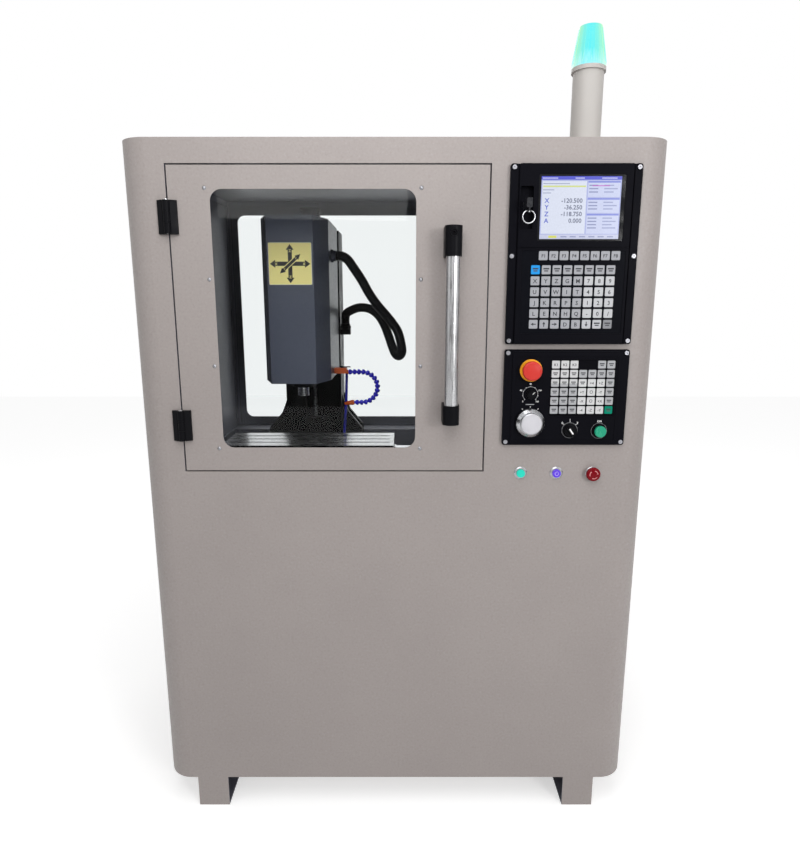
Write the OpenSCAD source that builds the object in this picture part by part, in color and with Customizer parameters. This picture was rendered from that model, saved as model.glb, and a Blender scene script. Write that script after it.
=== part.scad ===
// Enclosed small CNC milling machine with a hinged front door, a controller panel, an operator
// panel, a signal lamp and a bench-size mill inside.
// Millimetres. X runs to the right, Y to the back and Z up. The origin is on the floor, at the
// middle of the footprint. Inside most modules "b" is the depth behind the cabinet's front skin.

/* [Cabinet] */
// Width of the cabinet
cab_w = 1100; // [1080:10:1240]
// Depth of the cabinet from the front skin to the rear skin
cab_d = 800; // [790:10:900]
// Height of the cabinet above its runners
cab_h = 1434; // [1420:10:1560]
// Radius of the two front vertical corners
corner_r = 60; // [40:1:70]
// Thickness of the cabinet sheet
sheet_t = 2; // [1.5:0.5:3]
// Flat length of the front skin's return behind each round corner
return_flat = 20; // [18:1:40]
// Clearance between sheet parts that slip inside each other
sheet_fit = 0.3; // [0.3:0.1:1]
// Depth of the folded lips on the roof and base plates
lip_h = 18; // [12:1:19]

/* [Runners and stand] */
// Height of the floor runners
runner_h = 77; // [60:1:100]
// Width of each runner
runner_w = 72; // [60:1:90]
// Sheet thickness of the runners
runner_t = 3; // [2:0.5:5]
// Distance from the cabinet side to the outside of a runner
runner_inset = 76; // [40:1:90]
// Side of the square tubes of the stand frame
tube_s = 40; // [30:1:50]

/* [Door] */
// Distance from the door's right edge to the cabinet's right side
door_right = 362; // [350:1:390]
// Height of the door
door_h = 620; // [580:1:640]
// Distance from the cabinet's left side to the door's left edge
door_inset = 101; // [90:1:105]
// Height of the door's lower edge above the cabinet's underside
door_sill = 763; // [750:1:780]
// Gap all round the door
door_gap = 3; // [2:0.5:4]
// Depth of the door pan
door_d = 25; // [18:1:30]
// Distance from the door's right edge to the window opening
window_right = 145; // [136:1:200]
// Height of the window opening
window_h = 525; // [440:1:535]
// Distance from the door's left edge to the window opening
window_left = 83; // [70:1:90]
// Distance from the door's lower edge to the window opening
window_low = 50; // [42:1:55]
// Corner radius of the window opening
window_r = 24; // [10:1:40]
// How far the pane laps behind the door skin
window_lap = 20; // [18:1:22]
// Thickness of the window pane
pane_t = 5; // [3:0.5:8]
// Distance from the window opening to its screws
window_screw_off = 10; // [8:0.5:12]
// Shank diameter of the window screws
window_screw_d = 4; // [3:0.5:5]

/* [Hinges] */
// Distance of each hinge's middle from the door's upper or lower edge
hinge_inset = 99; // [80:1:120]
// Length of a hinge
hinge_l = 65; // [50:1:80]
// Width of one hinge leaf
hinge_leaf_w = 19; // [16:1:24]
// Radius of the hinge knuckle
knuckle_r = 7.5; // [6:0.5:8]
// Diameter of the hinge pin
hinge_pin_d = 6; // [4:0.5:7]

/* [Handle] */
// Outer diameter of the handle tube
handle_d = 28; // [22:1:32]
// Overall height of the handle with its brackets
handle_l = 393; // [300:1:450]
// Distance from the door's right edge to the handle's axis
handle_inset = 73; // [60:1:90]
// How far the handle stands out from the door skin
handle_reach = 55; // [48:1:65]
// Height of the upper bracket
bracket_top_h = 58; // [50:1:70]
// Height of the lower bracket
bracket_low_h = 40; // [34:1:60]
// Width of the brackets
bracket_w = 34; // [34:1:40]

/* [Controller panel] */
// Width of both front panels
panel_w = 258; // [250:1:262]
// Distance from the panels' right edge to the cabinet's right side
panel_margin = 65; // [60:1:72]
// Height of the controller panel
ctrl_h = 350; // [345:1:360]
// Height of the controller panel's lower edge above the cabinet's underside
ctrl_low = 1034; // [1020:1:1040]
// Width of the rail down each side of the controller panel
rail_w = 15; // [14:1:18]
// Proud thickness of the panels' rails
rail_t = 8; // [6:0.5:10]
// Proud thickness of the panels' middle field
field_t = 10; // [8:0.5:12]
// Depth of the controller housing behind the skin
housing_d = 90; // [60:5:140]
// Width of the screen opening
screen_w = 170; // [150:1:172]
// Height of the screen opening
screen_h = 126; // [110:1:128]
// Distance from the screen opening to the panel's upper edge
screen_top = 20; // [16:1:24]
// Distance from the panel's middle to the screen's middle
screen_off = 12; // [8:1:14]
// Pitch of the controller's keys
ctrl_pitch = 21.6; // [21:0.1:22]
// Side of a controller key
ctrl_key = 17.5; // [15:0.5:18]

/* [Operator panel] */
// Height of the operator panel
oper_h = 202; // [200:1:206]
// Gap between the operator panel and the controller panel
panel_gap = 11; // [6:1:16]
// Pitch of the operator panel's keys
oper_pitch = 19.1; // [18.5:0.1:19.3]
// Side of an operator key
oper_key = 16; // [14:0.5:16.5]
// Height of the keys above their sheet
key_t = 1.2; // [0.8:0.2:2]
// Diameter of the emergency-stop mushroom
estop_d = 40; // [34:1:42]
// Outer diameter of the handwheel's scale ring
wheel_d = 60; // [54:1:64]
// Diameter of the override knob
knob_d = 21; // [18:1:24]
// Height of the override knob
knob_h = 15; // [12:1:20]
// Diameter of the switch bezels on the operator panel
switch_d = 30; // [26:1:32]
// Running clearance of turning stems in their bores
run_fit = 0.08; // [0.05:0.01:0.1]
// Clearance of push stems in their bores
push_fit = 0.3; // [0.3:0.05:0.5]
// Travel of the push buttons
push_travel = 3; // [2:0.5:4]
// Travel of the emergency stop
estop_travel = 5; // [3:0.5:6]

/* [Pilot buttons] */
// Pitch of the three buttons under the operator panel
pilot_pitch = 77; // [70:1:84]
// Distance from the operator panel's lower edge to the buttons
pilot_drop = 64; // [50:1:80]
// Diameter of the mounting holes
pilot_hole_d = 22; // [20:0.5:24]
// Outer diameter of the bezels
pilot_bezel_d = 28; // [26:0.5:30]

/* [Signal lamp] */
// Distance from the lamp's axis to the cabinet's right side
lamp_inset = 152; // [120:1:200]
// Distance from the lamp's axis to the front skin
lamp_b = 100; // [80:1:160]
// Height of the lamp's stem
lamp_stem_h = 154; // [120:1:200]
// Diameter of the lamp's stem
lamp_stem_d = 62; // [50:1:66]
// Height of the lamp's lens
lamp_lens_h = 82; // [60:1:110]

/* [Work area] */
// Height of the work floor above the cabinet's underside
tray_level = 701; // [680:1:715]
// Depth of the chip well below the work floor
well_depth = 138; // [134:1:150]
// Width of the ledge between the well and the left side
well_ledge = 10; // [8:1:11]
// Distance from the front skin to the chip well
well_front = 60; // [40:1:80]
// Width of the ledge behind the well
well_rear = 80; // [70:1:90]
// Distance from the rear window's opening to the left side
rear_window_left = 35; // [30:1:60]
// Distance from the work floor to the rear window's opening
rear_window_low = 29; // [24:1:60]
// Distance from the roof to the rear window's opening
rear_window_top = 44; // [42:1:80]

/* [Mill base and column] */
// Distance from the door's left edge to the mill's middle
mill_inset = 193; // [188:1:198]
// Width of the base casting's body
base_w = 150; // [140:1:170]
// Height of the base casting up to its ways
base_h = 96; // [94:1:98]
// Distance from the base casting's front end to the column's front face
base_reach = 335; // [330:1:343]
// Width of the column
col_w = 170; // [150:1:180]
// Depth of the column behind its front face
col_d = 113; // [100:1:116]
// Distance from the column's front face to the rear skin
col_rear = 195; // [190:1:200]
// Height of the column above its foot plate
col_h = 608; // [600:1:620]
// Thickness of the column's foot plate
foot_t = 14; // [10:1:20]
// Width of the column's foot plate
foot_w = 294; // [260:2:310]
// Width of the dovetail ways
way_w = 110; // [100:1:120]
// Height of the dovetail ways
way_h = 14; // [12:1:16]
// Running gap between sliding castings
slide_gap = 0.35; // [0.3:0.05:0.5]
// Diameter of the ball screws
screw_d = 12; // [10:1:14]
// Side of the square axis motors
motor_s = 57; // [50:1:60]
// Length of the axis motors
motor_l = 66; // [50:1:76]

/* [Table] */
// Length of the table
table_l = 442; // [400:1:450]
// Depth of the table from front to back
table_d = 160; // [150:1:170]
// Thickness of the table
table_h = 36; // [35:1:38]
// Distance from the spindle's axis back to the table's middle
table_off = 3; // [0:1:6]
// Distance from the mill's middle to the table's right end
table_right = 238; // [230:1:240]
// Pitch of the T-slots
slot_pitch = 40; // [34:1:46]
// Width of a T-slot's neck
slot_w = 8; // [6:1:10]
// Length and depth of the saddle
saddle_s = 130; // [120:1:140]
// Thickness of the saddle
saddle_h = 43; // [42:1:45]
// Thickness of the table's end brackets
end_t = 12; // [10:1:14]

/* [Head] */
// Distance from the spindle's axis to the column's front face
throat = 198; // [195:1:201]
// Height of the head cover's underside above the work floor
head_level = 214; // [205:1:220]
// Height of the head cover
cover_h = 408; // [390:1:410]
// Width of the head cover's front face
cover_front_w = 113; // [100:1:124]
// Full width of the head cover
cover_w = 170; // [160:1:176]
// Distance from the head cover's front face to the spindle's axis
cover_reach = 147; // [142:1:152]
// Depth of the cover's bevelled corners
cover_bevel = 80; // [60:1:84]
// Thickness of the head cover's sheet
cover_t = 2; // [1.5:0.5:2.5]
// Diameter of the spindle shaft
spindle_d = 24; // [20:1:26]
// Diameter of the spindle nose
nose_d = 30; // [28:1:34]
// Diameter of the tool shank that the nose takes
shank_d = 10; // [6:0.5:13]

/* [Coolant and cables] */
// Outer diameter of the cable conduit
conduit_d = 26; // [20:1:28]
// Outer diameter of the thin supply tube
supply_d = 8; // [6:1:10]
// Outer diameter of a hose link's socket
link_d = 15; // [13:0.5:16]
// Number of hose links
link_count = 16; // [12:1:18]
// Radius of the hose's half circle
hose_bend_r = 43; // [38:1:48]
// Length of the hose's straight start
hose_lead = 34; // [24:1:40]
// Length of the hose's straight end
hose_tail = 26; // [16:1:34]

/* [Hidden] */
$fn = 48;

// Places of the main faces
front_y = -(cab_d - handle_reach) / 2;
under_z = runner_h;
top_z = under_z + cab_h;
side_x = cab_w / 2;
tray_z = under_z + tray_level;
inner_x = side_x - sheet_t;
return_d = corner_r + return_flat;
lip_in = 2 * sheet_t + 2 * sheet_fit;

// Door and window
door_x0 = -side_x + door_inset;
door_x1 = side_x - door_right;
door_z0 = under_z + door_sill;
door_z1 = door_z0 + door_h;
window_x0 = door_x0 + window_left;
window_w = door_x1 - window_right - window_x0;
window_z0 = door_z0 + window_low;
hinge_x = door_x0 - door_gap / 2;
hinge_zs = [door_z0 + hinge_inset, door_z1 - hinge_inset];
knuckle_n = 3;
handle_x = door_x1 - handle_inset;
handle_z0 = door_z0 + (door_h - handle_l) / 2 - 5;
handle_b = -handle_reach + bracket_w / 2;
jamb_d = 30;

// Front panels
panel_x1 = side_x - panel_margin;
panel_cx = panel_x1 - panel_w / 2;
ctrl_z0 = under_z + ctrl_low;
oper_z0 = ctrl_z0 - panel_gap - oper_h;
panel_screw_in = 7;
housing_rim = 14;
keypad_t = 1;
pilot_z = oper_z0 - pilot_drop;
pilot_x0 = panel_cx - 85.5;
partition_x = door_x1 + jamb_d / 2 + 3;
rear_window_x = [-side_x + rear_window_left, partition_x - 30];
rear_window_z = [tray_z + rear_window_low, top_z - rear_window_top];

// Mill
mill_x = door_x0 + mill_inset;
col_front = cab_d - col_rear;
base_front = col_front - base_reach;
base_rear = col_front + col_d;
spindle_b = col_front - throat;
table_b = spindle_b + table_off;
cover_front = spindle_b - cover_reach;
mill_z = tray_z - well_depth;
way_z = mill_z + base_h;
trough_w = 44;
saddle_z0 = way_z + slide_gap;
saddle_z1 = saddle_z0 + saddle_h;
table_way_h = 12;
table_z0 = saddle_z1 + slide_gap;
table_z1 = table_z0 + table_h;
table_x1 = mill_x + table_right;
table_x0 = table_x1 - table_l;
y_screw_z = way_z - 20;
x_screw_z = saddle_z1 - 13.4;
foot_z = tray_z;
col_z0 = foot_z + foot_t;
col_z1 = col_z0 + col_h;
gland_z = col_z0 + 318;
gland_r = conduit_d / 2 + 2;
gland_h = 18;
z_screw_b = col_front + 35;
head_z0 = tray_z + head_level;
head_z1 = head_z0 + cover_h;
carriage_back = col_front - slide_gap;
flange_h = 26;
nose_h = 25;
block_z = head_z0 + 8;
hose_b = spindle_b + 23;
boss_z = head_z1 - 86;
boss_b = spindle_b - 7;
boss_h = 12;

// Helpers: depth frame, solids given by their end faces, and rods along each axis
module at_front() translate([0, front_y, 0]) children();

module box(x, b, z)
    translate([x[0], b[0], z[0]]) cube([x[1] - x[0], b[1] - b[0], z[1] - z[0]]);

module rounded_rect(x, z, r) {
    if (r > 0) {
        translate([x[0] + r, z[0]]) square([x[1] - x[0] - 2 * r, z[1] - z[0]]);
        translate([x[0], z[0] + r]) square([x[1] - x[0], z[1] - z[0] - 2 * r]);
        for (cx = [x[0] + r, x[1] - r], cz = [z[0] + r, z[1] - r])
            translate([cx, cz]) circle(r);
    } else {
        translate([x[0], z[0]]) square([x[1] - x[0], z[1] - z[0]]);
    }
}

module extrude_b(b)
    translate([0, b[1], 0]) rotate([90, 0, 0]) linear_extrude(b[1] - b[0]) children();

module slab(x, b, z, r = 0) extrude_b(b) rounded_rect(x, z, r);

module rod_b(x, z, b, d)
    translate([x, b[1], z]) rotate([90, 0, 0]) cylinder(h = b[1] - b[0], d = d);

module rod_x(x, b, z, d)
    translate([x[0], b, z]) rotate([0, 90, 0]) cylinder(h = x[1] - x[0], d = d);

module rod_y(x, z, b, d)
    translate([x, b[0], z]) rotate([-90, 0, 0]) cylinder(h = b[1] - b[0], d = d);

module rod_z(x, b, z, d)
    translate([x, b, z[0]]) cylinder(h = z[1] - z[0], d = d);

// Local +Z points out of the machine's front
module facing_front(x, b, z) translate([x, b, z]) rotate([90, 0, 0]) children();

// Plan of the cabinet: two round front corners, square rear corners
module cabinet_plan(inset) {
    r = max(corner_r - inset, 1);
    x = side_x - inset;
    translate([-x, inset + r]) square([2 * x, cab_d - 2 * inset - r]);
    translate([-x + r, inset]) square([2 * (x - r), 2 * r]);
    for (s = [-1, 1]) translate([s * (x - r), inset + r]) circle(r);
}

module cabinet_skin(z, band) {
    translate([0, 0, z[0]]) linear_extrude(z[1] - z[0]) difference() {
        cabinet_plan(band[0]);
        cabinet_plan(band[1]);
    }
}

// ---------------------------------------------------------------- cabinet

// Folded channel, open towards the machine's middle, with a closed front and rear end
module runner(side) {
    outer = side_x - runner_inset;
    x = side > 0 ? [outer - runner_w, outer] : [-outer, -outer + runner_w];
    web = side > 0 ? [-1, -runner_t] : [runner_t, 1];
    difference() {
        box(x, [0, cab_d], [0, runner_h]);
        box([x[0] + web[0], x[1] + web[1]], [runner_t, cab_d - runner_t], [runner_t, runner_h - runner_t]);
    }
}

module runner_left() color("#BDB9BA") at_front() runner(-1);

module runner_right() color("#BDB9BA") at_front() runner(1);

module base_plate() {
    inset = sheet_t + sheet_fit;
    color("#BDB9BA") at_front() {
        translate([0, 0, under_z]) linear_extrude(sheet_t) cabinet_plan(inset);
        cabinet_skin([under_z, under_z + lip_h], [inset, inset + sheet_t]);
    }
}

// Welded square-tube frame that carries the mill's well
module stand_frame() {
    z = [under_z + sheet_t, mill_z - sheet_t];
    xs = [mill_x - 140, mill_x + 140 - tube_s];
    bs = [base_front + 20, cab_d - well_rear - tube_s - 20];
    color("#8F8C8E") at_front() {
        for (x = xs, b = bs) box([x, x + tube_s], [b, b + tube_s], z);
        for (x = xs, lvl = [z[0], z[1] - tube_s])
            box([x, x + tube_s], [bs[0], bs[1] + tube_s], [lvl, lvl + tube_s]);
        for (b = bs, lvl = [z[0], z[1] - tube_s])
            box([xs[0], xs[1] + tube_s], [b, b + tube_s], [lvl, lvl + tube_s]);
    }
}

module pilot_holes(b) {
    for (i = [0:2]) rod_b(pilot_x0 + i * pilot_pitch, pilot_z, b, pilot_hole_d);
}

// Front skin with rounded corners, a door opening with a folded jamb, and the panels' openings
module front_fascia() {
    through = [-1, corner_r];
    gap = [door_gap, door_gap + sheet_t];
    color("#BDB9BA") at_front() {
        difference() {
            intersection() {
                cabinet_skin([under_z, top_z - sheet_t], [0, sheet_t]);
                box([-cab_w, cab_w], [-1, return_d], [0, top_z]);
            }
            slab([door_x0 - gap[0], door_x1 + gap[0]], through, [door_z0 - gap[0], door_z1 + gap[0]]);
            slab([panel_cx - panel_w / 2 + housing_rim - 1, panel_cx + panel_w / 2 - housing_rim + 1],
                through, [ctrl_z0 + housing_rim - 1, ctrl_z0 + ctrl_h - housing_rim + 1], 4);
            slab([panel_cx - panel_w / 2 + housing_rim, panel_cx + panel_w / 2 - housing_rim],
                through, [oper_z0 + housing_rim, oper_z0 + oper_h - housing_rim], 4);
            pilot_holes(through);
            for (s = panel_screw_spots()) rod_b(s[0], s[1], through, panel_screw_d + 0.4);
        }
        difference() {
            slab([door_x0 - gap[1], door_x1 + gap[1]], [sheet_t, jamb_d],
                [door_z0 - gap[1], door_z1 + gap[1]]);
            slab([door_x0 - gap[0], door_x1 + gap[0]], [0, jamb_d + 1],
                [door_z0 - gap[0], door_z1 + gap[0]]);
        }
    }
}

// Flat side with a joggled strip that laps behind the front skin's return
module side_panel() {
    color("#BDB9BA") at_front() {
        box([inner_x, side_x], [return_d + sheet_fit, cab_d], [under_z, top_z - sheet_t]);
        box([inner_x - sheet_t, inner_x], [return_d - 15, return_d + 15],
            [under_z + lip_h + 5, top_z - sheet_t - lip_h - 5]);
    }
}

module side_panel_left() mirror([1, 0, 0]) side_panel();

module side_panel_right() side_panel();

module roof_panel() {
    inset = sheet_t + sheet_fit;
    color("#C8C5C6") at_front() difference() {
        union() {
            translate([0, 0, top_z - sheet_t]) linear_extrude(sheet_t) cabinet_plan(0);
            cabinet_skin([top_z - sheet_t - lip_h, top_z], [inset, inset + sheet_t]);
        }
        rod_z(side_x - lamp_inset, lamp_b, [top_z - lip_h, top_z + 1], 30);
    }
}

// Rear skin with folded sides, the rear window's opening, cooling slots and a mains gland
module rear_panel() {
    x = inner_x - sheet_fit;
    z = [under_z + sheet_t, top_z - sheet_t];
    back = [cab_d - sheet_t, cab_d];
    hole = [cab_d - lip_h - 1, cab_d + 1];
    gland = [side_x - 90, under_z + 120];
    color("#BDB9BA") at_front() {
        difference() {
            union() {
                slab([-x, x], back, z);
                for (s = [-1, 1])
                    box([s > 0 ? x - sheet_t : -x, s > 0 ? x : -x + sheet_t], [cab_d - lip_h, cab_d],
                        [z[0] + lip_h + 2, z[1] - lip_h - 2]);
            }
            slab(rear_window_x, hole, rear_window_z, window_r);
            for (i = [0:9], x0 = [panel_cx - 90, panel_cx + 20])
                slab([x0, x0 + 70], hole, [ctrl_z0 + i * 14, ctrl_z0 + i * 14 + 5], 2.4);
            rod_b(gland[0], gland[1], hole, 16);
        }
        difference() {
            rod_b(gland[0], gland[1], [cab_d - 12, cab_d - sheet_t], 26);
            rod_b(gland[0], gland[1], hole, 16);
        }
    }
}

// Clear pane screwed to the inside of the rear skin
module rear_window() {
    color("#C9D6DC", 0.35) at_front()
        slab([rear_window_x[0] - window_lap, rear_window_x[1] + window_lap],
            [cab_d - sheet_t - pane_t, cab_d - sheet_t],
            [rear_window_z[0] - window_lap, rear_window_z[1] + window_lap], 4);
}

// Work floor: a ledge all round and a chip well that holds the mill's base
module work_floor() {
    x = [-inner_x + sheet_t + 1, partition_x];
    b = [sheet_t, cab_d - sheet_t];
    well_x = [-inner_x + well_ledge, partition_x - well_ledge - 10];
    well_b = [well_front, cab_d - well_rear];
    pan_z = mill_z - sheet_t;
    drain = [mill_x + 240, (well_b[0] + well_b[1]) / 2];
    color("#6E6D78") at_front() difference() {
        union() {
            translate([0, 0, tray_z - sheet_t]) linear_extrude(sheet_t) intersection() {
                cabinet_plan(sheet_t + sheet_fit);
                translate([x[0], b[0]]) square([x[1] - x[0], b[1] - b[0]]);
            }
            box([well_x[0] - sheet_t, well_x[1] + sheet_t], [well_b[0] - sheet_t, well_b[1] + sheet_t],
                [pan_z, tray_z]);
        }
        box(well_x, well_b, [mill_z, tray_z + 1]);
        rod_z(drain[0], drain[1], [pan_z - 1, mill_z + 1], 38);
    }
}

// Wall between the work area and the control cabinet
module partition() {
    color("#5A5A66") at_front()
        box([partition_x, partition_x + sheet_t], [lip_in, cab_d - lip_in],
            [under_z + sheet_t, top_z - sheet_t - lip_h - 2]);
}

// ---------------------------------------------------------------- door

function window_screw_zs() = [for (i = [0:3]) window_z0 - 2 + i * (window_h + 4) / 3];
window_screw_xs = [window_x0 - window_screw_off, window_x0 + window_w + window_screw_off];

// Door pan: skin, four folded edges and the window's opening
module door_panel() {
    x = [door_x0, door_x1];
    z = [door_z0, door_z1];
    through = [-1, sheet_t + 1];
    color("#BDB9BA") at_front() difference() {
        box(x, [0, door_d], z);
        box([x[0] + sheet_t, x[1] - sheet_t], [sheet_t, door_d + 1], [z[0] + sheet_t, z[1] - sheet_t]);
        slab([window_x0, window_x0 + window_w], through, [window_z0, window_z0 + window_h], window_r);
        for (sx = window_screw_xs, sz = window_screw_zs())
            rod_b(sx, sz, through, window_screw_d + 0.4);
    }
}

// Clear pane behind the skin
module door_window() {
    color("#C9D6DC", 0.35) at_front() difference() {
        slab([window_x0 - window_lap, window_x0 + window_w + window_lap],
            [sheet_t, sheet_t + pane_t],
            [window_z0 - window_lap, window_z0 + window_h + window_lap], 4);
        for (sx = window_screw_xs, sz = window_screw_zs())
            rod_b(sx, sz, [0, sheet_t + pane_t + 1], window_screw_d + 0.4);
    }
}

// Domed screws with hexagon nuts behind the pane
module window_screws() {
    head_r = window_screw_d * 1.05;
    head_h = window_screw_d * 0.55;
    grip = sheet_t + pane_t;
    color("#C9CACC") at_front() for (sx = window_screw_xs, sz = window_screw_zs())
        facing_front(sx, 0, sz) {
            rotate_extrude() intersection() {
                translate([0, head_h - dome_r(head_r, head_h)]) circle(dome_r(head_r, head_h));
                square([head_r, head_h]);
            }
            translate([0, 0, -grip - 5]) cylinder(h = grip + 5, d = window_screw_d);
            translate([0, 0, -grip - 3.2]) cylinder(h = 3.2, r = head_r, $fn = 6);
        }
}

// Radius of the sphere that caps a disc of radius r with height h
function dome_r(r, h) = (r * r + h * h) / (2 * h);

module handle_tube() {
    z = [handle_z0 + bracket_low_h - 18, handle_z0 + handle_l - bracket_top_h + 18];
    color("#B9BBBE") at_front() difference() {
        rod_z(handle_x, handle_b, z, handle_d);
        rod_z(handle_x, handle_b, [z[0] - 1, z[1] + 1], handle_d - 4);
    }
}

// Block with a rounded front that grips one end of the tube and reaches back to the door skin
module handle_bracket(z, mouth) {
    r = bracket_w / 2;
    difference() {
        union() {
            translate([0, 0, z[0]]) linear_extrude(z[1] - z[0]) {
                translate([handle_x, -handle_reach + r]) circle(r);
                translate([handle_x - r, -handle_reach + r]) square([2 * r, handle_reach - r]);
            }
        }
        rod_z(handle_x, handle_b, mouth, handle_d + 0.2);
    }
}

module handle_brackets() {
    z1 = handle_z0 + handle_l;
    seat_top = z1 - bracket_top_h + 18;
    seat_low = handle_z0 + bracket_low_h - 18;
    screw_z = z1 - bracket_w / 2 + 3;
    color("#26272A") at_front() {
        difference() {
            handle_bracket([z1 - bracket_top_h, z1], [z1 - bracket_top_h - 1, seat_top]);
            rod_b(handle_x, screw_z, [-handle_reach - 1, -handle_reach + 10], 14);
            rod_b(handle_x, screw_z, [-handle_reach - 1, 1], 8.4);
        }
        handle_bracket([handle_z0, handle_z0 + bracket_low_h], [seat_low, handle_z0 + bracket_low_h + 1]);
        difference() {
            union() {
                rod_b(handle_x, screw_z, [-handle_reach + 2, -handle_reach + 10], 13);
                rod_b(handle_x, screw_z, [-handle_reach + 9, 0], 8);
            }
            facing_front(handle_x, -handle_reach + 6.5, screw_z) cylinder(h = 6, r = 3.6, $fn = 6);
        }
    }
}

// Hinge leaf to the right of the pin: bevelled plate with a pocket for the other leaf's knuckles
module hinge_leaf_plan(pin_b) {
    polygon([[door_gap / 2, 0], [hinge_leaf_w + 0.5, 0], [hinge_leaf_w + 0.5, -4],
        [knuckle_r + 1, pin_b - 2.5], [door_gap / 2, pin_b - 2.5]]);
}

module hinge_leaf(z, knuckles) {
    step = (z[1] - z[0]) / knuckle_n;
    difference() {
        union() {
            translate([0, 0, z[0]]) linear_extrude(z[1] - z[0]) hinge_leaf_plan(-knuckle_r);
            for (k = knuckles)
                translate([0, -knuckle_r, z[0] + k * step + 0.2]) cylinder(h = step - 0.4, r = knuckle_r);
        }
        for (k = [0:knuckle_n - 1])
            if (len([for (own = knuckles) if (own == k) 1]) == 0)
                translate([0, -knuckle_r, z[0] + k * step - 0.2])
                    cylinder(h = step + 0.4, r = knuckle_r + 0.4);
        translate([0, -knuckle_r, z[0] - 1])
            cylinder(h = z[1] - z[0] + 2, d = hinge_pin_d + 2 * run_fit);
    }
}

function hinge_span(z) = [z - hinge_l / 2, z + hinge_l / 2];

module hinge_frame_leaves() {
    color("#1E1F22") at_front() translate([hinge_x, 0, 0]) mirror([1, 0, 0])
        for (z = hinge_zs) hinge_leaf(hinge_span(z), [0, 2]);
}

module hinge_door_leaves() {
    color("#1E1F22") at_front() translate([hinge_x, 0, 0])
        for (z = hinge_zs) hinge_leaf(hinge_span(z), [1]);
}

// Pins with a small head above and a foot that stops them below
module hinge_pins() {
    color("#55565A") at_front() for (z = hinge_zs) {
        span = hinge_span(z);
        rod_z(hinge_x, -knuckle_r, [span[0], span[1]], hinge_pin_d);
        rod_z(hinge_x, -knuckle_r, [span[1], span[1] + 1.5], hinge_pin_d + 3);
    }
}

// ---------------------------------------------------------------- controller panel

ctrl_z1 = ctrl_z0 + ctrl_h;
screen_cx = panel_cx + screen_off;
screen_x = [screen_cx - screen_w / 2, screen_cx + screen_w / 2];
screen_z = [ctrl_z1 - screen_top - screen_h, ctrl_z1 - screen_top];
screen_depth = 4;
usb_x = [screen_x[0] - 36, screen_x[0] - 10];
usb_z = [ctrl_z1 - 123, ctrl_z1 - 42];
ctrl_pad_x = [panel_cx - 101, panel_cx + 106];
ctrl_pad_z = [ctrl_z0 + 22, ctrl_z0 + 186];
pocket = 2;

function panel_screw_spots() = concat(
    [for (s = [-1, 1], z = [ctrl_z0 + panel_screw_in, ctrl_z0 + ctrl_h / 2, ctrl_z1 - panel_screw_in])
        [panel_cx + s * (panel_w / 2 - panel_screw_in), z]],
    [for (s = [-1, 1], z = [oper_z0 + panel_screw_in, oper_z0 + oper_h - panel_screw_in])
        [panel_cx + s * (panel_w / 2 - panel_screw_in), z]]);

panel_screw_d = 5;

// Cast face with side rails, a groove beside each rail and a raised middle, on its housing
module controller_panel() {
    x = [panel_cx - panel_w / 2, panel_cx + panel_w / 2];
    field_x = [x[0] + rail_w + 3, x[1] - rail_w - 3];
    front = -field_t;
    color("#303138") at_front() difference() {
        union() {
            slab(x, [-rail_t + 3, 0], [ctrl_z0, ctrl_z1], 5);
            slab([x[0], x[0] + rail_w], [-rail_t, 0], [ctrl_z0, ctrl_z1], 5);
            slab([x[1] - rail_w, x[1]], [-rail_t, 0], [ctrl_z0, ctrl_z1], 5);
            slab(field_x, [front, 0], [ctrl_z0, ctrl_z1], 2);
            slab([x[0] + housing_rim, x[1] - housing_rim], [-1, housing_d],
                [ctrl_z0 + housing_rim, ctrl_z1 - housing_rim], 3);
        }
        slab(screen_x, [front - 1, front + screen_depth], screen_z, 3);
        slab(usb_x, [front - 1, front + 12], usb_z, 2);
        slab(ctrl_pad_x, [front - 1, front + pocket], ctrl_pad_z, 2);
        slab([field_x[0], field_x[1]], [front - 1, front + 1.5],
            [ctrl_pad_z[1] + 4, ctrl_pad_z[1] + 6]);
        for (s = panel_screw_spots()) if (s[1] > ctrl_z0)
            rod_b(s[0], s[1], [-rail_t - 1, 6], panel_screw_d + 0.4);
    }
}

// Screen: a clear glass over the display, filling its opening
module lcd_screen() {
    color("#C8CDE4") at_front()
        slab([screen_x[0] + 0.3, screen_x[1] - 0.3], [-field_t + 1, -field_t + screen_depth],
            [screen_z[0] + 0.3, screen_z[1] - 0.3], 2.7);
}

// Key with corners cut to short chords
module key_plan(side) {
    r = 1.6;
    h = side / 2;
    polygon([for (q = [0:3], i = [0:2])
        let (a = 90 * q + 45 * i, c = [cos(90 * q + 45), sin(90 * q + 45)])
            [sign(c[0]) * (h - r) + r * cos(a), sign(c[1]) * (h - r) + r * sin(a)]]);
}

module keys(spots, side, b)
    for (s = spots)
        translate([s[0], b, s[1]]) rotate([90, 0, 0]) linear_extrude(key_t) key_plan(side);

// Sheet with raised keys: one row of function keys above six rows of eight
module controller_keypad() {
    face = -field_t + pocket;
    top_row = [for (i = [0:7]) [panel_cx - 59 + i * 20.7, ctrl_pad_z[1] - 10]];
    grid = [for (j = [0:5], i = [0:7])
        [panel_cx - 73.5 + i * ctrl_pitch, ctrl_pad_z[1] - 37.5 - j * ctrl_pitch]];
    color("#B9B9BC") at_front() {
        slab([ctrl_pad_x[0] + 0.3, ctrl_pad_x[1] - 0.3], [face - keypad_t, face],
            [ctrl_pad_z[0] + 0.3, ctrl_pad_z[1] - 0.3], 1.7);
        keys(concat(top_row, grid), ctrl_key, face - keypad_t);
    }
}

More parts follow.
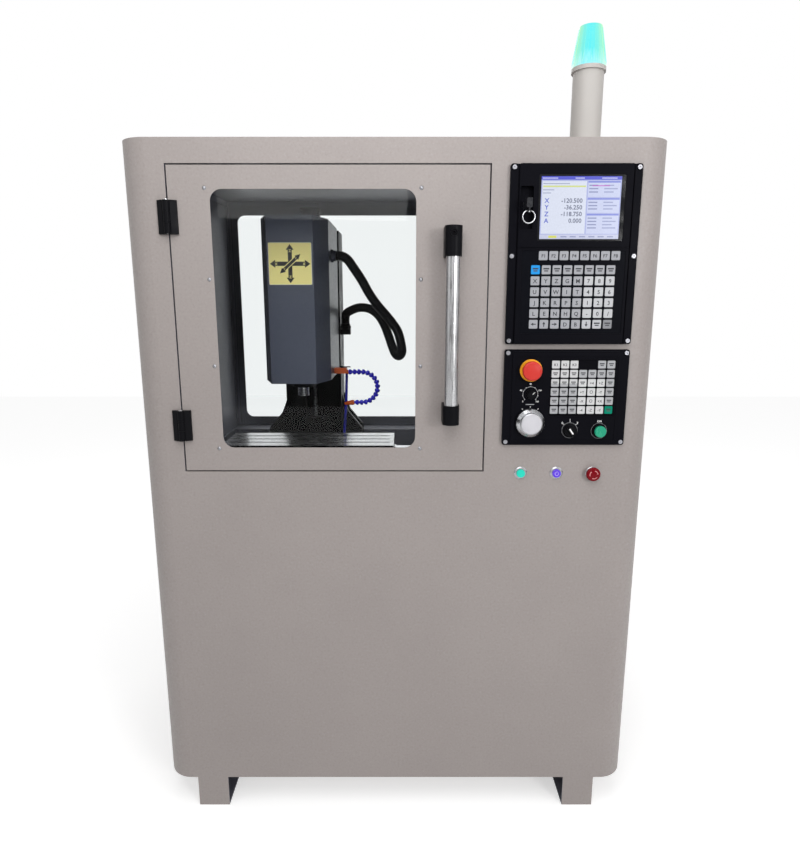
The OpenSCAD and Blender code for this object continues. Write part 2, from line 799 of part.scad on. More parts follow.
// Stick in its port, with an eyelet that carries a split ring
module usb_stick() {
    x = (usb_x[0] + usb_x[1]) / 2;
    z = usb_z[0] + 46;
    root = -field_t + 12;
    tip = root - 42;
    ring_r = 12;
    wire_r = 1;
    eye_d = 6;
    eye_z = z - 12;
    ring_z = eye_z - eye_d / 2 + wire_r + 0.2 - ring_r;
    color("#3A3B42") at_front() {
        slab([x - 4.5, x + 4.5], [root - 12, root], [z - 7, z + 7], 0.8);
        slab([x - 5.5, x + 5.5], [tip, root - 12], [z - 9, z + 9], 2);
        difference() {
            box([x - 1, x + 1], [tip, tip + 10], [eye_z - 6, z - 8]);
            rod_x([x - 2, x + 2], tip + 5, eye_z, eye_d);
        }
        translate([x, tip + 5, ring_z]) rotate([90, 0, 0])
            rotate_extrude() translate([ring_r, 0]) circle(r = wire_r, $fn = 16);
    }
}

// Cheese-head screws of both front panels
module panel_screws() {
    color("#DEDFE2") at_front() for (s = panel_screw_spots()) difference() {
        union() {
            rod_b(s[0], s[1], [-rail_t, 6], panel_screw_d);
            rod_b(s[0], s[1], [-rail_t - 2.5, -rail_t], panel_screw_d + 3.5);
        }
        facing_front(s[0], -rail_t - 1, s[1]) cylinder(h = 3, r = 1.7, $fn = 6);
    }
}

// ---------------------------------------------------------------- operator panel

oper_z1 = oper_z0 + oper_h;
oper_face = -field_t + 1;
oper_pad_x = [panel_cx - 33, panel_cx + 103];
oper_pad_z = [oper_z1 - 140, oper_z1 - 20];
estop_at = [panel_cx - 74, oper_z1 - 43];
knob_at = [panel_cx - 73, oper_z1 - 93];
wheel_at = [panel_cx - 72, oper_z0 + 49];
mode_at = [panel_cx + 13, oper_z0 + 32];
start_at = [panel_cx + 75, oper_z0 + 31];
estop_stem_d = 20;
knob_stem_d = 6;
wheel_stem_d = 10;
switch_stem_d = 18;
barrel_d = 22;

module operator_panel() {
    x = [panel_cx - panel_w / 2, panel_cx + panel_w / 2];
    through = [-field_t - 1, 1];
    color("#26272B") at_front() difference() {
        union() {
            slab(x, [-rail_t, 0], [oper_z0, oper_z1], 5);
            slab([x[0] + rail_w + 2, x[1] - rail_w - 2], [-field_t, 0], [oper_z0 + 4, oper_z1 - 4], 3);
        }
        slab([x[0] + rail_w + 10, x[1] - rail_w - 7], [-field_t - 1, oper_face],
            [oper_z0 + 9, oper_z1 - 14], 2);
        slab(oper_pad_x, [-field_t - 1, oper_face + pocket], oper_pad_z, 2);
        for (p = [estop_at, mode_at, start_at]) rod_b(p[0], p[1], through, barrel_d + 0.4);
        rod_b(knob_at[0], knob_at[1], through, knob_stem_d + 2 * run_fit);
        rod_b(wheel_at[0], wheel_at[1], through, wheel_stem_d + 8);
        for (s = panel_screw_spots()) if (s[1] < oper_z1)
            rod_b(s[0], s[1], [-rail_t - 1, 1], panel_screw_d + 0.4);
    }
}

// Sheet with raised keys: six rows of seven, the first row without its fourth and fifth key
module operator_keypad() {
    face = oper_face + pocket;
    spots = [for (j = [0:5], i = [0:6]) if (j > 0 || i < 3 || i > 4)
        [panel_cx - 22.5 + i * oper_pitch, oper_pad_z[1] - 11 - j * oper_pitch]];
    color("#D8D8DA") at_front() {
        slab([oper_pad_x[0] + 0.3, oper_pad_x[1] - 0.3], [face - keypad_t, face],
            [oper_pad_z[0] + 0.3, oper_pad_z[1] - 0.3], 1.7);
        keys(spots, oper_key, face - keypad_t);
    }
}

// Fixed switch body: flange on the panel, barrel through it and a blind bore for the stem
module switch_body(at, b, flange_d, flange_h, bore_d, depth) {
    facing_front(at[0], b, at[1]) difference() {
        union() {
            cylinder(h = flange_h, d = flange_d);
            translate([0, 0, -depth - 3]) cylinder(h = depth + 4, d = barrel_d);
        }
        translate([0, 0, -depth]) cylinder(h = depth + flange_h + 1, d = bore_d);
    }
}

module estop_ring() {
    color("#F2A81D") at_front()
        switch_body(estop_at, oper_face, 46, 4, estop_stem_d - 6 + 2 * push_fit, 24);
}

// Mushroom head on a stem that travels into its ring
module estop_button() {
    lift = 4 + estop_travel + 0.5;
    color("#E5423A") at_front() facing_front(estop_at[0], oper_face, estop_at[1]) {
        rotate_extrude() mushroom_profile(estop_d / 2, 12, lift);
        translate([0, 0, -24 + estop_travel + 0.4])
            cylinder(h = 24 + lift - estop_travel, d = estop_stem_d - 6);
    }
}

// Half profile of a mushroom cap with a rounded rim and a slightly domed top
module mushroom_profile(r, h, lift) {
    rim = h * 0.35;
    translate([0, lift]) {
        square([r - rim, h - 1]);
        translate([0, rim * 0.6]) square([r, h - 1 - rim * 1.6]);
        translate([r - rim, h - 1 - rim]) circle(rim);
        translate([r - rim, rim]) circle(rim);
        intersection() {
            square([r - rim, h + 2]);
            translate([0, h - dome_r(r, 2)]) circle(dome_r(r, 2), $fn = 96);
        }
    }
}

// Ribbed knob with a pointer line, on a stem that turns in the panel
module override_knob() {
    skirt = knob_d / 2;
    color("#1B1C1F") at_front() facing_front(knob_at[0], oper_face, knob_at[1]) difference() {
        union() {
            translate([0, 0, push_fit]) cylinder(h = 4, r = skirt);
            translate([0, 0, push_fit]) cylinder(h = knob_h, r = skirt - 3);
            for (a = [0:30:330]) rotate(a) translate([skirt - 3, 0, push_fit])
                cylinder(h = knob_h - 1, r = 1.3, $fn = 16);
            translate([0, 0, -14]) cylinder(h = 15, d = knob_stem_d);
        }
        rotate(-52) translate([-0.6, 2, knob_h - 0.4]) cube([1.2, skirt, 2]);
    }
}

// Turned wheel: sloped silver rim, raised disc and a finger dimple
module handwheel_dial() {
    r = wheel_d / 2;
    color("#D5D5D8") at_front() facing_front(wheel_at[0], oper_face, wheel_at[1]) difference() {
        union() {
            rotate_extrude() polygon([[0, 3.3], [r - 1.5, 3.3], [r - 0.5, 5], [r - 0.5, 9], [r - 6, 15],
                [r - 8, 15], [r - 8, 20], [r - 9.5, 21.5], [0, 21.5]]);
            translate([0, 0, -30]) cylinder(h = 34, d = wheel_stem_d);
            for (a = [7.5:15:352.5]) rotate(a) translate([r - 0.8, 0, 5.6]) cylinder(h = 2.8, r = 0.8);
        }
        rotate(-125) translate([r - 15, 0, 20.3]) cylinder(h = 2, d = 7);
    }
}

// Fixed bodies of the mode switch, the start button and the handwheel
module switch_bezels() {
    color("#202124") at_front() {
        facing_front(wheel_at[0], oper_face, wheel_at[1]) difference() {
            union() {
                cylinder(h = 3, d = wheel_d);
                translate([0, 0, -30]) cylinder(h = 31, d = wheel_stem_d + 7);
            }
            translate([0, 0, -31]) cylinder(h = 36, d = wheel_stem_d + 2 * run_fit);
        }
        switch_body(mode_at, oper_face, switch_d, 5, 14 + 2 * run_fit, 20);
        switch_body(start_at, oper_face, switch_d - 2, 4, switch_stem_d + 2 * push_fit, 20);
    }
}

// Turned knob with a raised grip bar and a slot for the key
module mode_key() {
    color("#1B1C1F") at_front() facing_front(mode_at[0], oper_face, mode_at[1]) {
        translate([0, 0, -19.5]) cylinder(h = 25, d = 14);
        translate([0, 0, 5.3]) cylinder(h = 4, d = switch_d - 6);
        rotate(35) difference() {
            translate([-3, -11, 9]) cube([6, 22, 7]);
            translate([-0.6, -8, 15]) cube([1.2, 16, 2]);
        }
    }
}

module push_button(at, b, cap_d, cap_h, lift, depth, travel) {
    facing_front(at[0], b, at[1]) {
        rotate_extrude() polygon([[0, lift], [cap_d / 2, lift], [cap_d / 2, lift + cap_h - 1.2],
            [cap_d / 2 - 0.4, lift + cap_h - 0.4], [cap_d / 2 - 1.4, lift + cap_h], [0, lift + cap_h]]);
        translate([0, 0, -depth + travel + 0.4])
            cylinder(h = depth - travel + lift, d = min(cap_d, switch_stem_d));
    }
}

module start_button() {
    color("#17A27A") at_front()
        push_button(start_at, oper_face, 24, 6, 4 + push_travel + 0.5, 20, push_travel);
}

function pilot_at(i) = [pilot_x0 + i * pilot_pitch, pilot_z];
pilot_flange_h = 3;
pilot_bore_d = 18 + 2 * push_fit;
pilot_depth = 18;

// Chromed rings of the three pilot buttons, each with its barrel behind the skin
module pilot_bezels() {
    color("#D4D6D8") at_front() for (i = [0:2])
        facing_front(pilot_at(i)[0], 0, pilot_at(i)[1]) difference() {
            union() {
                rotate_extrude() polygon([[0, 0], [pilot_bezel_d / 2, 0], [pilot_bezel_d / 2, 1],
                    [pilot_bezel_d / 2 - 2.5, pilot_flange_h], [0, pilot_flange_h]]);
                translate([0, 0, -pilot_depth - 3])
                    cylinder(h = pilot_depth + 4, d = pilot_hole_d - 0.2);
            }
            translate([0, 0, -pilot_depth]) cylinder(h = pilot_depth + 5, d = pilot_bore_d);
        }
}

// Lit plunger that sits inside its ring
module pilot_plunger(i, proud) {
    facing_front(pilot_at(i)[0], 0, pilot_at(i)[1])
        translate([0, 0, -pilot_depth + push_travel + 0.4]) {
            cylinder(h = pilot_depth - push_travel + proud - 1.4, d = switch_stem_d);
            translate([0, 0, pilot_depth - push_travel + proud - 1.5])
                cylinder(h = 1.1, d = switch_stem_d - 2);
        }
}

module cyan_button() color("#25E5C8") at_front() pilot_plunger(0, pilot_flange_h + push_travel + 1);

module violet_button() color("#5B32D8") at_front() pilot_plunger(1, pilot_flange_h + push_travel + 1);

// Mushroom button over the third ring
module red_button() {
    lift = pilot_flange_h + push_travel + 0.5;
    color("#B01020") at_front() facing_front(pilot_at(2)[0], 0, pilot_at(2)[1]) {
        rotate_extrude() mushroom_profile(15, 10, lift);
        translate([0, 0, -pilot_depth + push_travel + 0.4])
            cylinder(h = pilot_depth - push_travel + lift + 1, d = switch_stem_d);
    }
}

// ---------------------------------------------------------------- signal lamp

lamp_x = side_x - lamp_inset;

// Moulded stem with a flared foot and a threaded neck under the lens
module lamp_stem() {
    r = lamp_stem_d / 2;
    flare = 9;
    color("#DAD6D0") at_front() translate([lamp_x, lamp_b, top_z]) rotate_extrude() difference() {
        union() {
            square([r + flare, 4]);
            translate([0, 4]) difference() {
                square([r + flare, flare]);
                translate([r + flare, flare]) circle(flare);
            }
            square([r, lamp_stem_h]);
            translate([0, lamp_stem_h - 8]) square([r + 3.5, 8]);
        }
        translate([0, -1]) square([r - 12, 6]);
    }
}

// Tapered ribbed lens with a shallow domed top
module lamp_lens() {
    r0 = lamp_stem_d / 2 + 3;
    r1 = lamp_stem_d / 2 - 8;
    ribs = 24;
    wall_h = lamp_lens_h - 5;
    color("#2CE6DC") at_front() translate([lamp_x, lamp_b, top_z + lamp_stem_h]) {
        rotate_extrude() union() {
            polygon([[0, 0], [r0, 0], [r0, 5], [r1, wall_h], [0, wall_h]]);
            translate([0, wall_h - 1]) intersection() {
                square([r1, 6]);
                translate([0, 6 - dome_r(r1, 6)]) circle(dome_r(r1, 6), $fn = 96);
            }
        }
        for (i = [0:ribs - 1]) rotate((i + 0.5) * 360 / ribs)
            rotate([90, 0, 0]) linear_extrude(1.4, center = true) polygon([[r0 - 5, 7],
                [r0 + 0.8, 7], [r1 + 0.8, wall_h - 3], [r1 - 3, wall_h - 3]]);
    }
}

// ---------------------------------------------------------------- mill base and column

// Dovetail section, narrow at its root; grow widens it for the mating slot
module dovetail(w, h, grow = 0) {
    cut = h * tan(30);
    polygon([[-w / 2 + cut - grow, -grow], [w / 2 - cut + grow, -grow], [w / 2 + grow, h],
        [-w / 2 - grow, h]]);
}

way_grow = slide_gap + 0.1;
pad_front = col_front - 30;

// Base casting: foot flange, ribbed body, split dovetail ways and a rear pad for the column
module mill_base() {
    trough_b = [base_front + 15, pad_front + 10];
    color("#2B2D33") at_front() translate([mill_x, 0, 0]) difference() {
        union() {
            box([-base_w / 2 - 22, base_w / 2 + 22], [base_front, base_rear], [mill_z, mill_z + 14]);
            box([-base_w / 2, base_w / 2], [base_front, base_rear], [mill_z, way_z]);
            translate([0, 0, way_z]) extrude_b([base_front, pad_front]) dovetail(way_w, way_h);
            box([-base_w / 2 - 22, base_w / 2 + 22], [pad_front, base_rear], [mill_z, foot_z]);
            for (s = [-1, 1], b = [base_front + 70, base_front + 180])
                translate([s * base_w / 2, b + 6, mill_z + 14]) rotate([90, 0, 0]) linear_extrude(12)
                    polygon([[-s, 0], [s * 20, 0], [-s, way_z - mill_z - 24]]);
        }
        box([-trough_w / 2, trough_w / 2], trough_b, [y_screw_z - 26, way_z + way_h + 1]);
        rod_b(0, y_screw_z, [base_front - 1, trough_b[1] + 15], screw_d + 2 * run_fit);
        for (s = [-1, 1], b = [base_front + 25, base_front + 290])
            rod_z(s * (base_w / 2 + 12), b, [mill_z - 1, mill_z + 15], 11);
    }
}

// Column casting: box section with split dovetail ways, gusseted foot, cap plate and cable gland
module column() {
    wall = 14;
    back = col_front + col_d;
    half = col_w / 2;
    foot = foot_w / 2;
    slot = [col_z0 + 50, col_z1 - 30];
    color("#17181B") at_front() translate([mill_x, 0, 0]) {
        difference() {
            union() {
                box([-half, half], [col_front, back], [foot_z, col_z1]);
                translate([0, 0, col_z0]) linear_extrude(col_z1 - col_z0 - 10)
                    translate([0, col_front]) mirror([0, 1]) dovetail(way_w, way_h);
                box([-foot, foot], [pad_front, back], [foot_z, col_z0]);
                for (b = [col_front + 30, back - 25]) for (s = [0, 1]) mirror([s, 0, 0])
                    extrude_b([b, b + 16]) polygon([[half - 1, col_z0 - 1], [foot, col_z0 - 1],
                        [foot, col_z0 + 8], [half + 20, col_z0 + 60], [half + 6, col_z0 + 96],
                        [half - 1, col_z0 + 120]]);
            }
            box([-half + wall, half - wall], [col_front + wall, back - wall], [col_z0, col_z1 - wall]);
            box([-trough_w / 2, trough_w / 2], [col_front - way_h - 1, col_front + wall + 1], slot);
            rod_z(0, z_screw_b, [foot_z + 4, col_z1 + 1], screw_d + 2 * run_fit);
            for (s = [-1, 1], b = [pad_front + 14])
                rod_z(s * (foot - 16), b, [foot_z - 1, col_z0 + 1], 11);
        }
        translate([half, col_front + 22, gland_z]) {
            box([-1, 2 * gland_r], [-gland_r, gland_r], [-14, 2]);
            translate([gland_r, 0, 1]) cylinder(h = gland_h - 1, d = conduit_d + 2);
            translate([gland_r, 0, 4]) cylinder(h = 8, d = conduit_d + 7, $fn = 6);
        }
    }
}

// Square motor with a round pilot, a flange and a rear cap; its shaft end points down local -Z
module axis_motor() {
    s = motor_s / 2;
    difference() {
        union() {
            linear_extrude(6) rounded_rect([-s, s], [-s, s], 4);
            translate([0, 0, 5]) linear_extrude(motor_l - 15)
                rounded_rect([-s + 2, s - 2], [-s + 2, s - 2], 7);
            translate([0, 0, motor_l - 11]) linear_extrude(11) rounded_rect([-s, s], [-s, s], 4);
        }
        translate([0, 0, -1]) cylinder(h = 16, d = screw_d + 2 * run_fit);
        for (x = [-1, 1], y = [-1, 1]) translate([x * (s - 5), y * (s - 5), -1]) cylinder(h = 8, d = 5.2);
    }
}

module axis_motors() {
    color("#1F2024") at_front() {
        translate([mill_x, z_screw_b, col_z1]) axis_motor();
        facing_front(mill_x, base_front, y_screw_z) axis_motor();
    }
}

// Screw rod with a shallow relief ring beside each journal
module ball_screw(l) {
    difference() {
        cylinder(h = l, d = screw_d);
        for (z = [30, l - 32]) translate([0, 0, z]) rotate_extrude()
            translate([screw_d / 2 - 0.5, 0]) square([2, 2]);
    }
}

module z_ballscrew() {
    z0 = foot_z + 5;
    color("#C5C7C9") at_front() translate([mill_x, z_screw_b, z0]) ball_screw(col_z1 + 14 - z0);
}

module y_ballscrew() {
    b0 = base_front - 14;
    l = pad_front + 24 - b0;
    color("#C5C7C9") at_front() translate([mill_x, b0, y_screw_z]) rotate([-90, 0, 0]) ball_screw(l);
}

// Saddle: slot over the base's ways, split dovetail for the table and nuts for both screws
module saddle() {
    h = saddle_s / 2;
    span = [table_b - h, table_b + h];
    color("#2B2D33") at_front() translate([mill_x, 0, 0]) difference() {
        union() {
            difference() {
                union() {
                    box([-h, h], span, [saddle_z0, saddle_z1]);
                    translate([-h, table_b, saddle_z1]) rotate([90, 0, 90])
                        linear_extrude(2 * h) dovetail(way_w - 10, table_way_h);
                }
                translate([0, 0, way_z]) extrude_b([span[0] - 1, span[1] + 1])
                    dovetail(way_w, way_h + slide_gap, way_grow);
                box([-h - 1, h + 1], [table_b - 12, table_b + 12], [x_screw_z - 9, saddle_z1 + 20]);
            }
            box([-20, 20], [table_b - 13, table_b + 13], [x_screw_z - 10, saddle_z1 - 1]);
            box([-trough_w / 2 + 4, trough_w / 2 - 4], [table_b - 20, table_b + 20],
                [y_screw_z - 15, way_z + way_h + 2]);
        }
        rod_x([-h - 2, h + 2], table_b, x_screw_z, screw_d + 2 * run_fit);
        rod_b(0, y_screw_z, [table_b - 21, table_b + 21], screw_d + 2 * run_fit);
    }
}

// Table: three T-slots along its top and the slot for the saddle's dovetail underneath
module table() {
    neck = 7;
    wide = slot_w + 6;
    deep = 13;
    color("#9EA1A4") at_front() difference() {
        box([table_x0, table_x1], [table_b - table_d / 2, table_b + table_d / 2], [table_z0, table_z1]);
        for (i = [-1:1]) translate([table_x0 - 1, table_b + i * slot_pitch, table_z1])
            rotate([90, 0, 90]) linear_extrude(table_l + 2) polygon([[-slot_w / 2, 1],
                [-slot_w / 2, -neck], [-wide / 2, -neck], [-wide / 2, -deep], [wide / 2, -deep],
                [wide / 2, -neck], [slot_w / 2, -neck], [slot_w / 2, 1]]);
        translate([table_x0 - 1, table_b, saddle_z1]) rotate([90, 0, 90])
            linear_extrude(table_l + 2) dovetail(way_w - 10, table_way_h + slide_gap, way_grow);
    }
}

// Bearing plate at each end of the table, with its two fixing screws
module table_brackets() {
    low = x_screw_z - 21;
    half = table_d / 2;
    color("#8E9194") at_front() for (x = [table_x0 - end_t, table_x1]) {
        difference() {
            box([x, x + end_t], [table_b - half, table_b + half], [low, table_z1]);
            rod_x([x - 1, x + end_t + 1], table_b, x_screw_z, screw_d + 2 * run_fit);
        }
        out = x < table_x0 ? [x - 4, x] : [x + end_t, x + end_t + 4];
        for (s = [-1, 1]) rod_x(out, table_b + s * (half - 12), table_z1 - 10, 8);
    }
}

module x_ballscrew() {
    x0 = table_x0 - end_t + 0.5;
    l = table_x1 + end_t + 14 - x0;
    color("#C5C7C9") at_front() translate([x0, table_b, x_screw_z]) rotate([0, 90, 0]) ball_screw(l);
}

// Motor on the right bracket
module x_motor() {
    color("#A7A9AC") at_front()
        translate([table_x1 + end_t, table_b, x_screw_z]) rotate([0, 90, 0]) axis_motor();
}

// ---------------------------------------------------------------- head

spindle_z0 = head_z0 - flange_h - nose_h;
spindle_motor_h = 128;
cast_z1 = head_z1 - spindle_motor_h - 68;

// Head casting: spindle block with flange, and a carriage on the column's ways with its nut
module head_casting() {
    cut = [head_z0 + 8, cast_z1 - 22];
    color("#3A3D44") at_front() translate([mill_x, 0, 0]) difference() {
        union() {
            box([-50, 50], [spindle_b - 52, carriage_back - 40], [head_z0 + cover_t, cast_z1]);
            box([-72, 72], [carriage_back - 44, carriage_back], cut);
            rod_z(0, spindle_b, [head_z0 - flange_h, head_z0 + 20], 58);
            box([-trough_w / 2 + 5, trough_w / 2 - 5], [carriage_back - 20, z_screw_b + 16],
                [head_z0 + 90, head_z0 + 130]);
        }
        difference() {
            translate([0, 0, cut[0] - 1]) linear_extrude(cut[1] - cut[0] + 2)
                translate([0, col_front]) mirror([0, 1]) dovetail(way_w, way_h + slide_gap, way_grow);
            box([-trough_w / 2 + 5, trough_w / 2 - 5], [carriage_back - 20, z_screw_b],
                [head_z0 + 90, head_z0 + 130]);
        }
        rod_z(0, spindle_b, [head_z0 - flange_h - 1, cast_z1 + 1], spindle_d + 2 * run_fit);
        rod_z(0, z_screw_b, [head_z0, cast_z1 - 12], screw_d + 2 * run_fit);
    }
}

// Plan of the head cover: flat front, bevelled corners and straight sides
module cover_plan(inset) {
    w = cover_w / 2 - inset;
    f = cover_front_w / 2 - inset * 0.7;
    b = [cover_front + inset, cover_front + cover_bevel + inset * 0.3, carriage_back - 46];
    polygon([[-f, b[0]], [f, b[0]], [w, b[1]], [w, b[2]], [-w, b[2]], [-w, b[1]]]);
}

// Folded sheet cover, open at the back, with a hole for the spindle flange and a cable boss
module head_cover() {
    color("#2E3444") at_front() translate([mill_x, 0, 0]) {
        difference() {
            translate([0, 0, head_z0]) linear_extrude(cover_h) cover_plan(0);
            translate([0, 0, head_z0 + cover_t]) linear_extrude(cover_h - 2 * cover_t) cover_plan(cover_t);
            box([-cover_w / 2 + cover_t, cover_w / 2 - cover_t], [carriage_back - 60, carriage_back],
                [head_z0 + cover_t, head_z1 - cover_t]);
            rod_z(0, spindle_b, [head_z0 - 1, head_z0 + cover_t + 1], 59);
        }
        rod_x([cover_w / 2 - 1, cover_w / 2 + boss_h], boss_b, boss_z, conduit_d + 2);
        translate([cover_w / 2 - 1, boss_b, boss_z]) rotate([0, 90, 0])
            cylinder(h = 7, d = conduit_d + 7, $fn = 6);
    }
}

// Spindle shaft with a flatted nose and a blind bore for the tool shank
module spindle() {
    color("#C9CBCD") at_front() translate([mill_x, spindle_b, spindle_z0]) difference() {
        union() {
            difference() {
                cylinder(h = nose_h - push_fit, d = nose_d);
                for (a = [0:60:300]) rotate(a) translate([nose_d / 2 - 1, -3, 6]) cube([3, 6, 14]);
            }
            translate([0, 0, nose_h - 1]) cylinder(h = cast_z1 + 20 - spindle_z0 - nose_h, d = spindle_d);
        }
        translate([0, 0, -1]) cylinder(h = 36, d = shank_d);
        translate([0, 0, -1]) cylinder(h = 2.5, d1 = shank_d + 7, d2 = shank_d + 1);
    }
}

module spindle_motor() {
    s = 42;
    color("#1F2024") at_front() translate([mill_x, spindle_b, cast_z1]) difference() {
        union() {
            linear_extrude(10) rounded_rect([-s, s], [-s, s], 6);
            translate([0, 0, 9]) cylinder(h = spindle_motor_h - 20, r = s - 2);
            translate([0, 0, spindle_motor_h - 12]) linear_extrude(12) rounded_rect([-s, s], [-s, s], 12);
        }
        translate([0, 0, -1]) cylinder(h = 26, d = spindle_d + 2 * run_fit);
    }
}

// ---------------------------------------------------------------- coolant and cables

block_x = mill_x + cover_w / 2;
barb_x = block_x + 28.5;
barb_z = block_z + 7.5;
barb_b = hose_b + 20;

// Valve block on the head's right side, with the bore of its lever's stem
module coolant_block() {
    color("#E8622C") at_front() difference() {
        union() {
            box([block_x, block_x + 34], [hose_b - 14, hose_b + 12], [block_z, block_z + 15]);
            rod_x([block_x + 33, hose_x0 - 4], hose_b, hose_z0, 12);
            rod_x([block_x + 33, hose_x0], hose_b, hose_z0, link_d - 9);
            translate([hose_x0, hose_b, hose_z0]) sphere(link_d / 2 - 2.2);
            rod_y(barb_x, barb_z, [hose_b + 11, barb_b], supply_d + 2);
        }
        rod_z(block_x + 20, hose_b, [block_z + 5, block_z + 16], 6 + 2 * run_fit);
    }
}

// Quarter-turn lever of the valve
module coolant_lever() {
    color("#2A2B2E") at_front() translate([block_x + 20, hose_b, block_z + 15.3]) {
        translate([0, 0, -9]) cylinder(h = 12, d = 6);
        cylinder(h = 4, d = 10);
        translate([0, 0, 0.5]) linear_extrude(2.5) rounded_rect([-3, 24], [-3, 3], 2.9);
    }
}

hose_x0 = block_x + 42;
hose_z0 = block_z + 3;
hose_len = hose_lead + PI * hose_bend_r + hose_tail;

// Point of the hose's centre line at length s: a straight lead, a half circle down, a straight tail
function hose_point(s) =
    s < hose_lead ? [hose_x0 + s, hose_z0]
    : s < hose_len - hose_tail ?
        let (a = 90 - (s - hose_lead) / hose_bend_r * 180 / PI)
            [hose_x0 + hose_lead + hose_bend_r * cos(a), hose_z0 - hose_bend_r + hose_bend_r * sin(a)]
    : [hose_x0 + hose_lead - (s - hose_len + hose_tail), hose_z0 - 2 * hose_bend_r];

// One ball-and-socket link: socket round the origin, ball at distance l along +Z
module hose_link(l) {
    ball = link_d / 2 - 2.2;
    wall_r = link_d / 2;
    neck = ball - 2;
    rotate_extrude($fn = 28) difference() {
        union() {
            intersection() {
                circle(wall_r);
                translate([0, -3]) square([wall_r + 1, wall_r + 3]);
            }
            translate([0, wall_r - 2]) square([neck, l - wall_r + 1]);
            intersection() {
                translate([0, l]) circle(ball);
                translate([0, l - ball]) square([ball, 2 * ball - 1.2]);
            }
        }
        circle(ball + 0.2);
        translate([0, -8]) square([2.2, l + 16]);
    }
}

// Chain of links that hold the bend they are set to
module coolant_hose() {
    step = hose_len / link_count;
    color("#2418D8") at_front() for (i = [0:link_count - 1]) {
        p = hose_point(i * step);
        q = hose_point((i + 1) * step);
        d = q - p;
        translate([p[0], hose_b, p[1]]) rotate([0, atan2(d[0], d[1]), 0]) hose_link(norm(d));
    }
}

// Nozzle on the last ball
module coolant_nozzle() {
    ball = link_d / 2 - 2.2;
    p = hose_point(hose_len);
    color("#E8622C") at_front() translate([p[0], hose_b, p[1]]) rotate([0, -98, 0])
        rotate_extrude() difference() {
            polygon([[0, -3], [link_d / 2 - 1, -3], [link_d / 2, 2], [link_d / 2 - 1, 8], [3.4, 24],
                [0, 24]]);
            circle(ball + 0.2);
            translate([0, -8]) square([1.8, 40]);
        }
}

// Round-sided tube swept along a list of points
function dir_at(p, i) = let (a = p[max(i - 1, 0)], b = p[min(i + 1, len(p) - 1)]) (b - a) / norm(b - a);
function ring_at(p, i, r, n) =
    let (t = dir_at(p, i), side = cross(t, [0.13, 1, 0.21]), u = side / norm(side), v = cross(t, u))
        [for (k = [0:n - 1]) p[i] + r * cos(360 * k / n) * u + r * sin(360 * k / n) * v];

module swept_tube(p, r, n) {
    m = len(p);
    polyhedron(
        points = [for (i = [0:m - 1], q = ring_at(p, i, r, n)) q],
        faces = concat([[for (k = [0:n - 1]) k]], [[for (k = [n - 1:-1:0]) (m - 1) * n + k]],
            [for (i = [0:m - 2], k = [0:n - 1])
                [i * n + (k + 1) % n, i * n + k, (i + 1) * n + k, (i + 1) * n + (k + 1) % n]]));
}

// Smooth curve through a list of points, with the same number of steps in each span
function spline(p, i, t) =
    let (a = p[max(i - 1, 0)], b = p[i], c = p[i + 1], d = p[min(i + 2, len(p) - 1)])
        0.5 * (2 * b + (c - a) * t + (2 * a - 5 * b + 4 * c - d) * t * t
            + (3 * b - a - 3 * c + d) * t * t * t);
function smooth(p, steps) = concat(
    [for (i = [0:len(p) - 2], k = [0:steps - 1]) spline(p, i, k / steps)], [p[len(p) - 1]]);

// Conduit from the head cover's boss, down in a loop and back up to the column's gland; the fall is
// measured from the boss and the rise from the gland
tube_gap = 0.4;
boss_end = [mill_x + cover_w / 2 + boss_h + tube_gap, boss_b, boss_z];
gland_end = [mill_x + col_w / 2 + gland_r, col_front + 22, gland_z + gland_h + tube_gap];
conduit_fall = [
    [0, 0, 0], [4, 0, 0], [10, 0, 0], [20, 0, -2.5], [32, 0, -11], [45, 1, -29], [67, 3, -62],
    [86, 6, -96], [106, 9, -125], [129, 13, -152], [149, 18, -177], [165, 24, -204]
];
conduit_rise = [
    [172, -191, -65], [165, -175, -82], [154, -155, -79], [144, -139, -58], [134, -126, -30],
    [121, -112, 2], [103, -95, 29], [77, -75, 46], [46, -53, 49], [19, -31, 40], [3, -8, 30], [0, 0, 16],
    [0, 0, 7], [0, 0, 0]
];
conduit_route = concat([for (p = conduit_fall) boss_end + p], [for (p = conduit_rise) gland_end + p]);

module cable_conduit() color("#111113") at_front() swept_tube(smooth(conduit_route, 2), conduit_d / 2, 10);

// Thin supply tube from the floor ledge up to the barb behind the coolant block, given the same way; it
// comes in level, so that the block slides past its end when the head moves
ledge_end = [mill_x + 96, col_front - 42, tray_z + tube_gap];
block_end = [barb_x, barb_b + tube_gap, barb_z];
supply_rise = [[0, 0, 0], [0, 0, 22], [3, -7, 52], [8, -33, 88]];
supply_entry = [[-5, 58, -95], [-2, 40, -50], [0, 30, -20], [0, 20, -4], [0, 9, 0], [0, 0, 0]];
supply_route = concat([for (p = supply_rise) ledge_end + p], [for (p = supply_entry) block_end + p]);

module coolant_tube() color("#2B2FC8") at_front() swept_tube(smooth(supply_route, 3), supply_d / 2, 8);

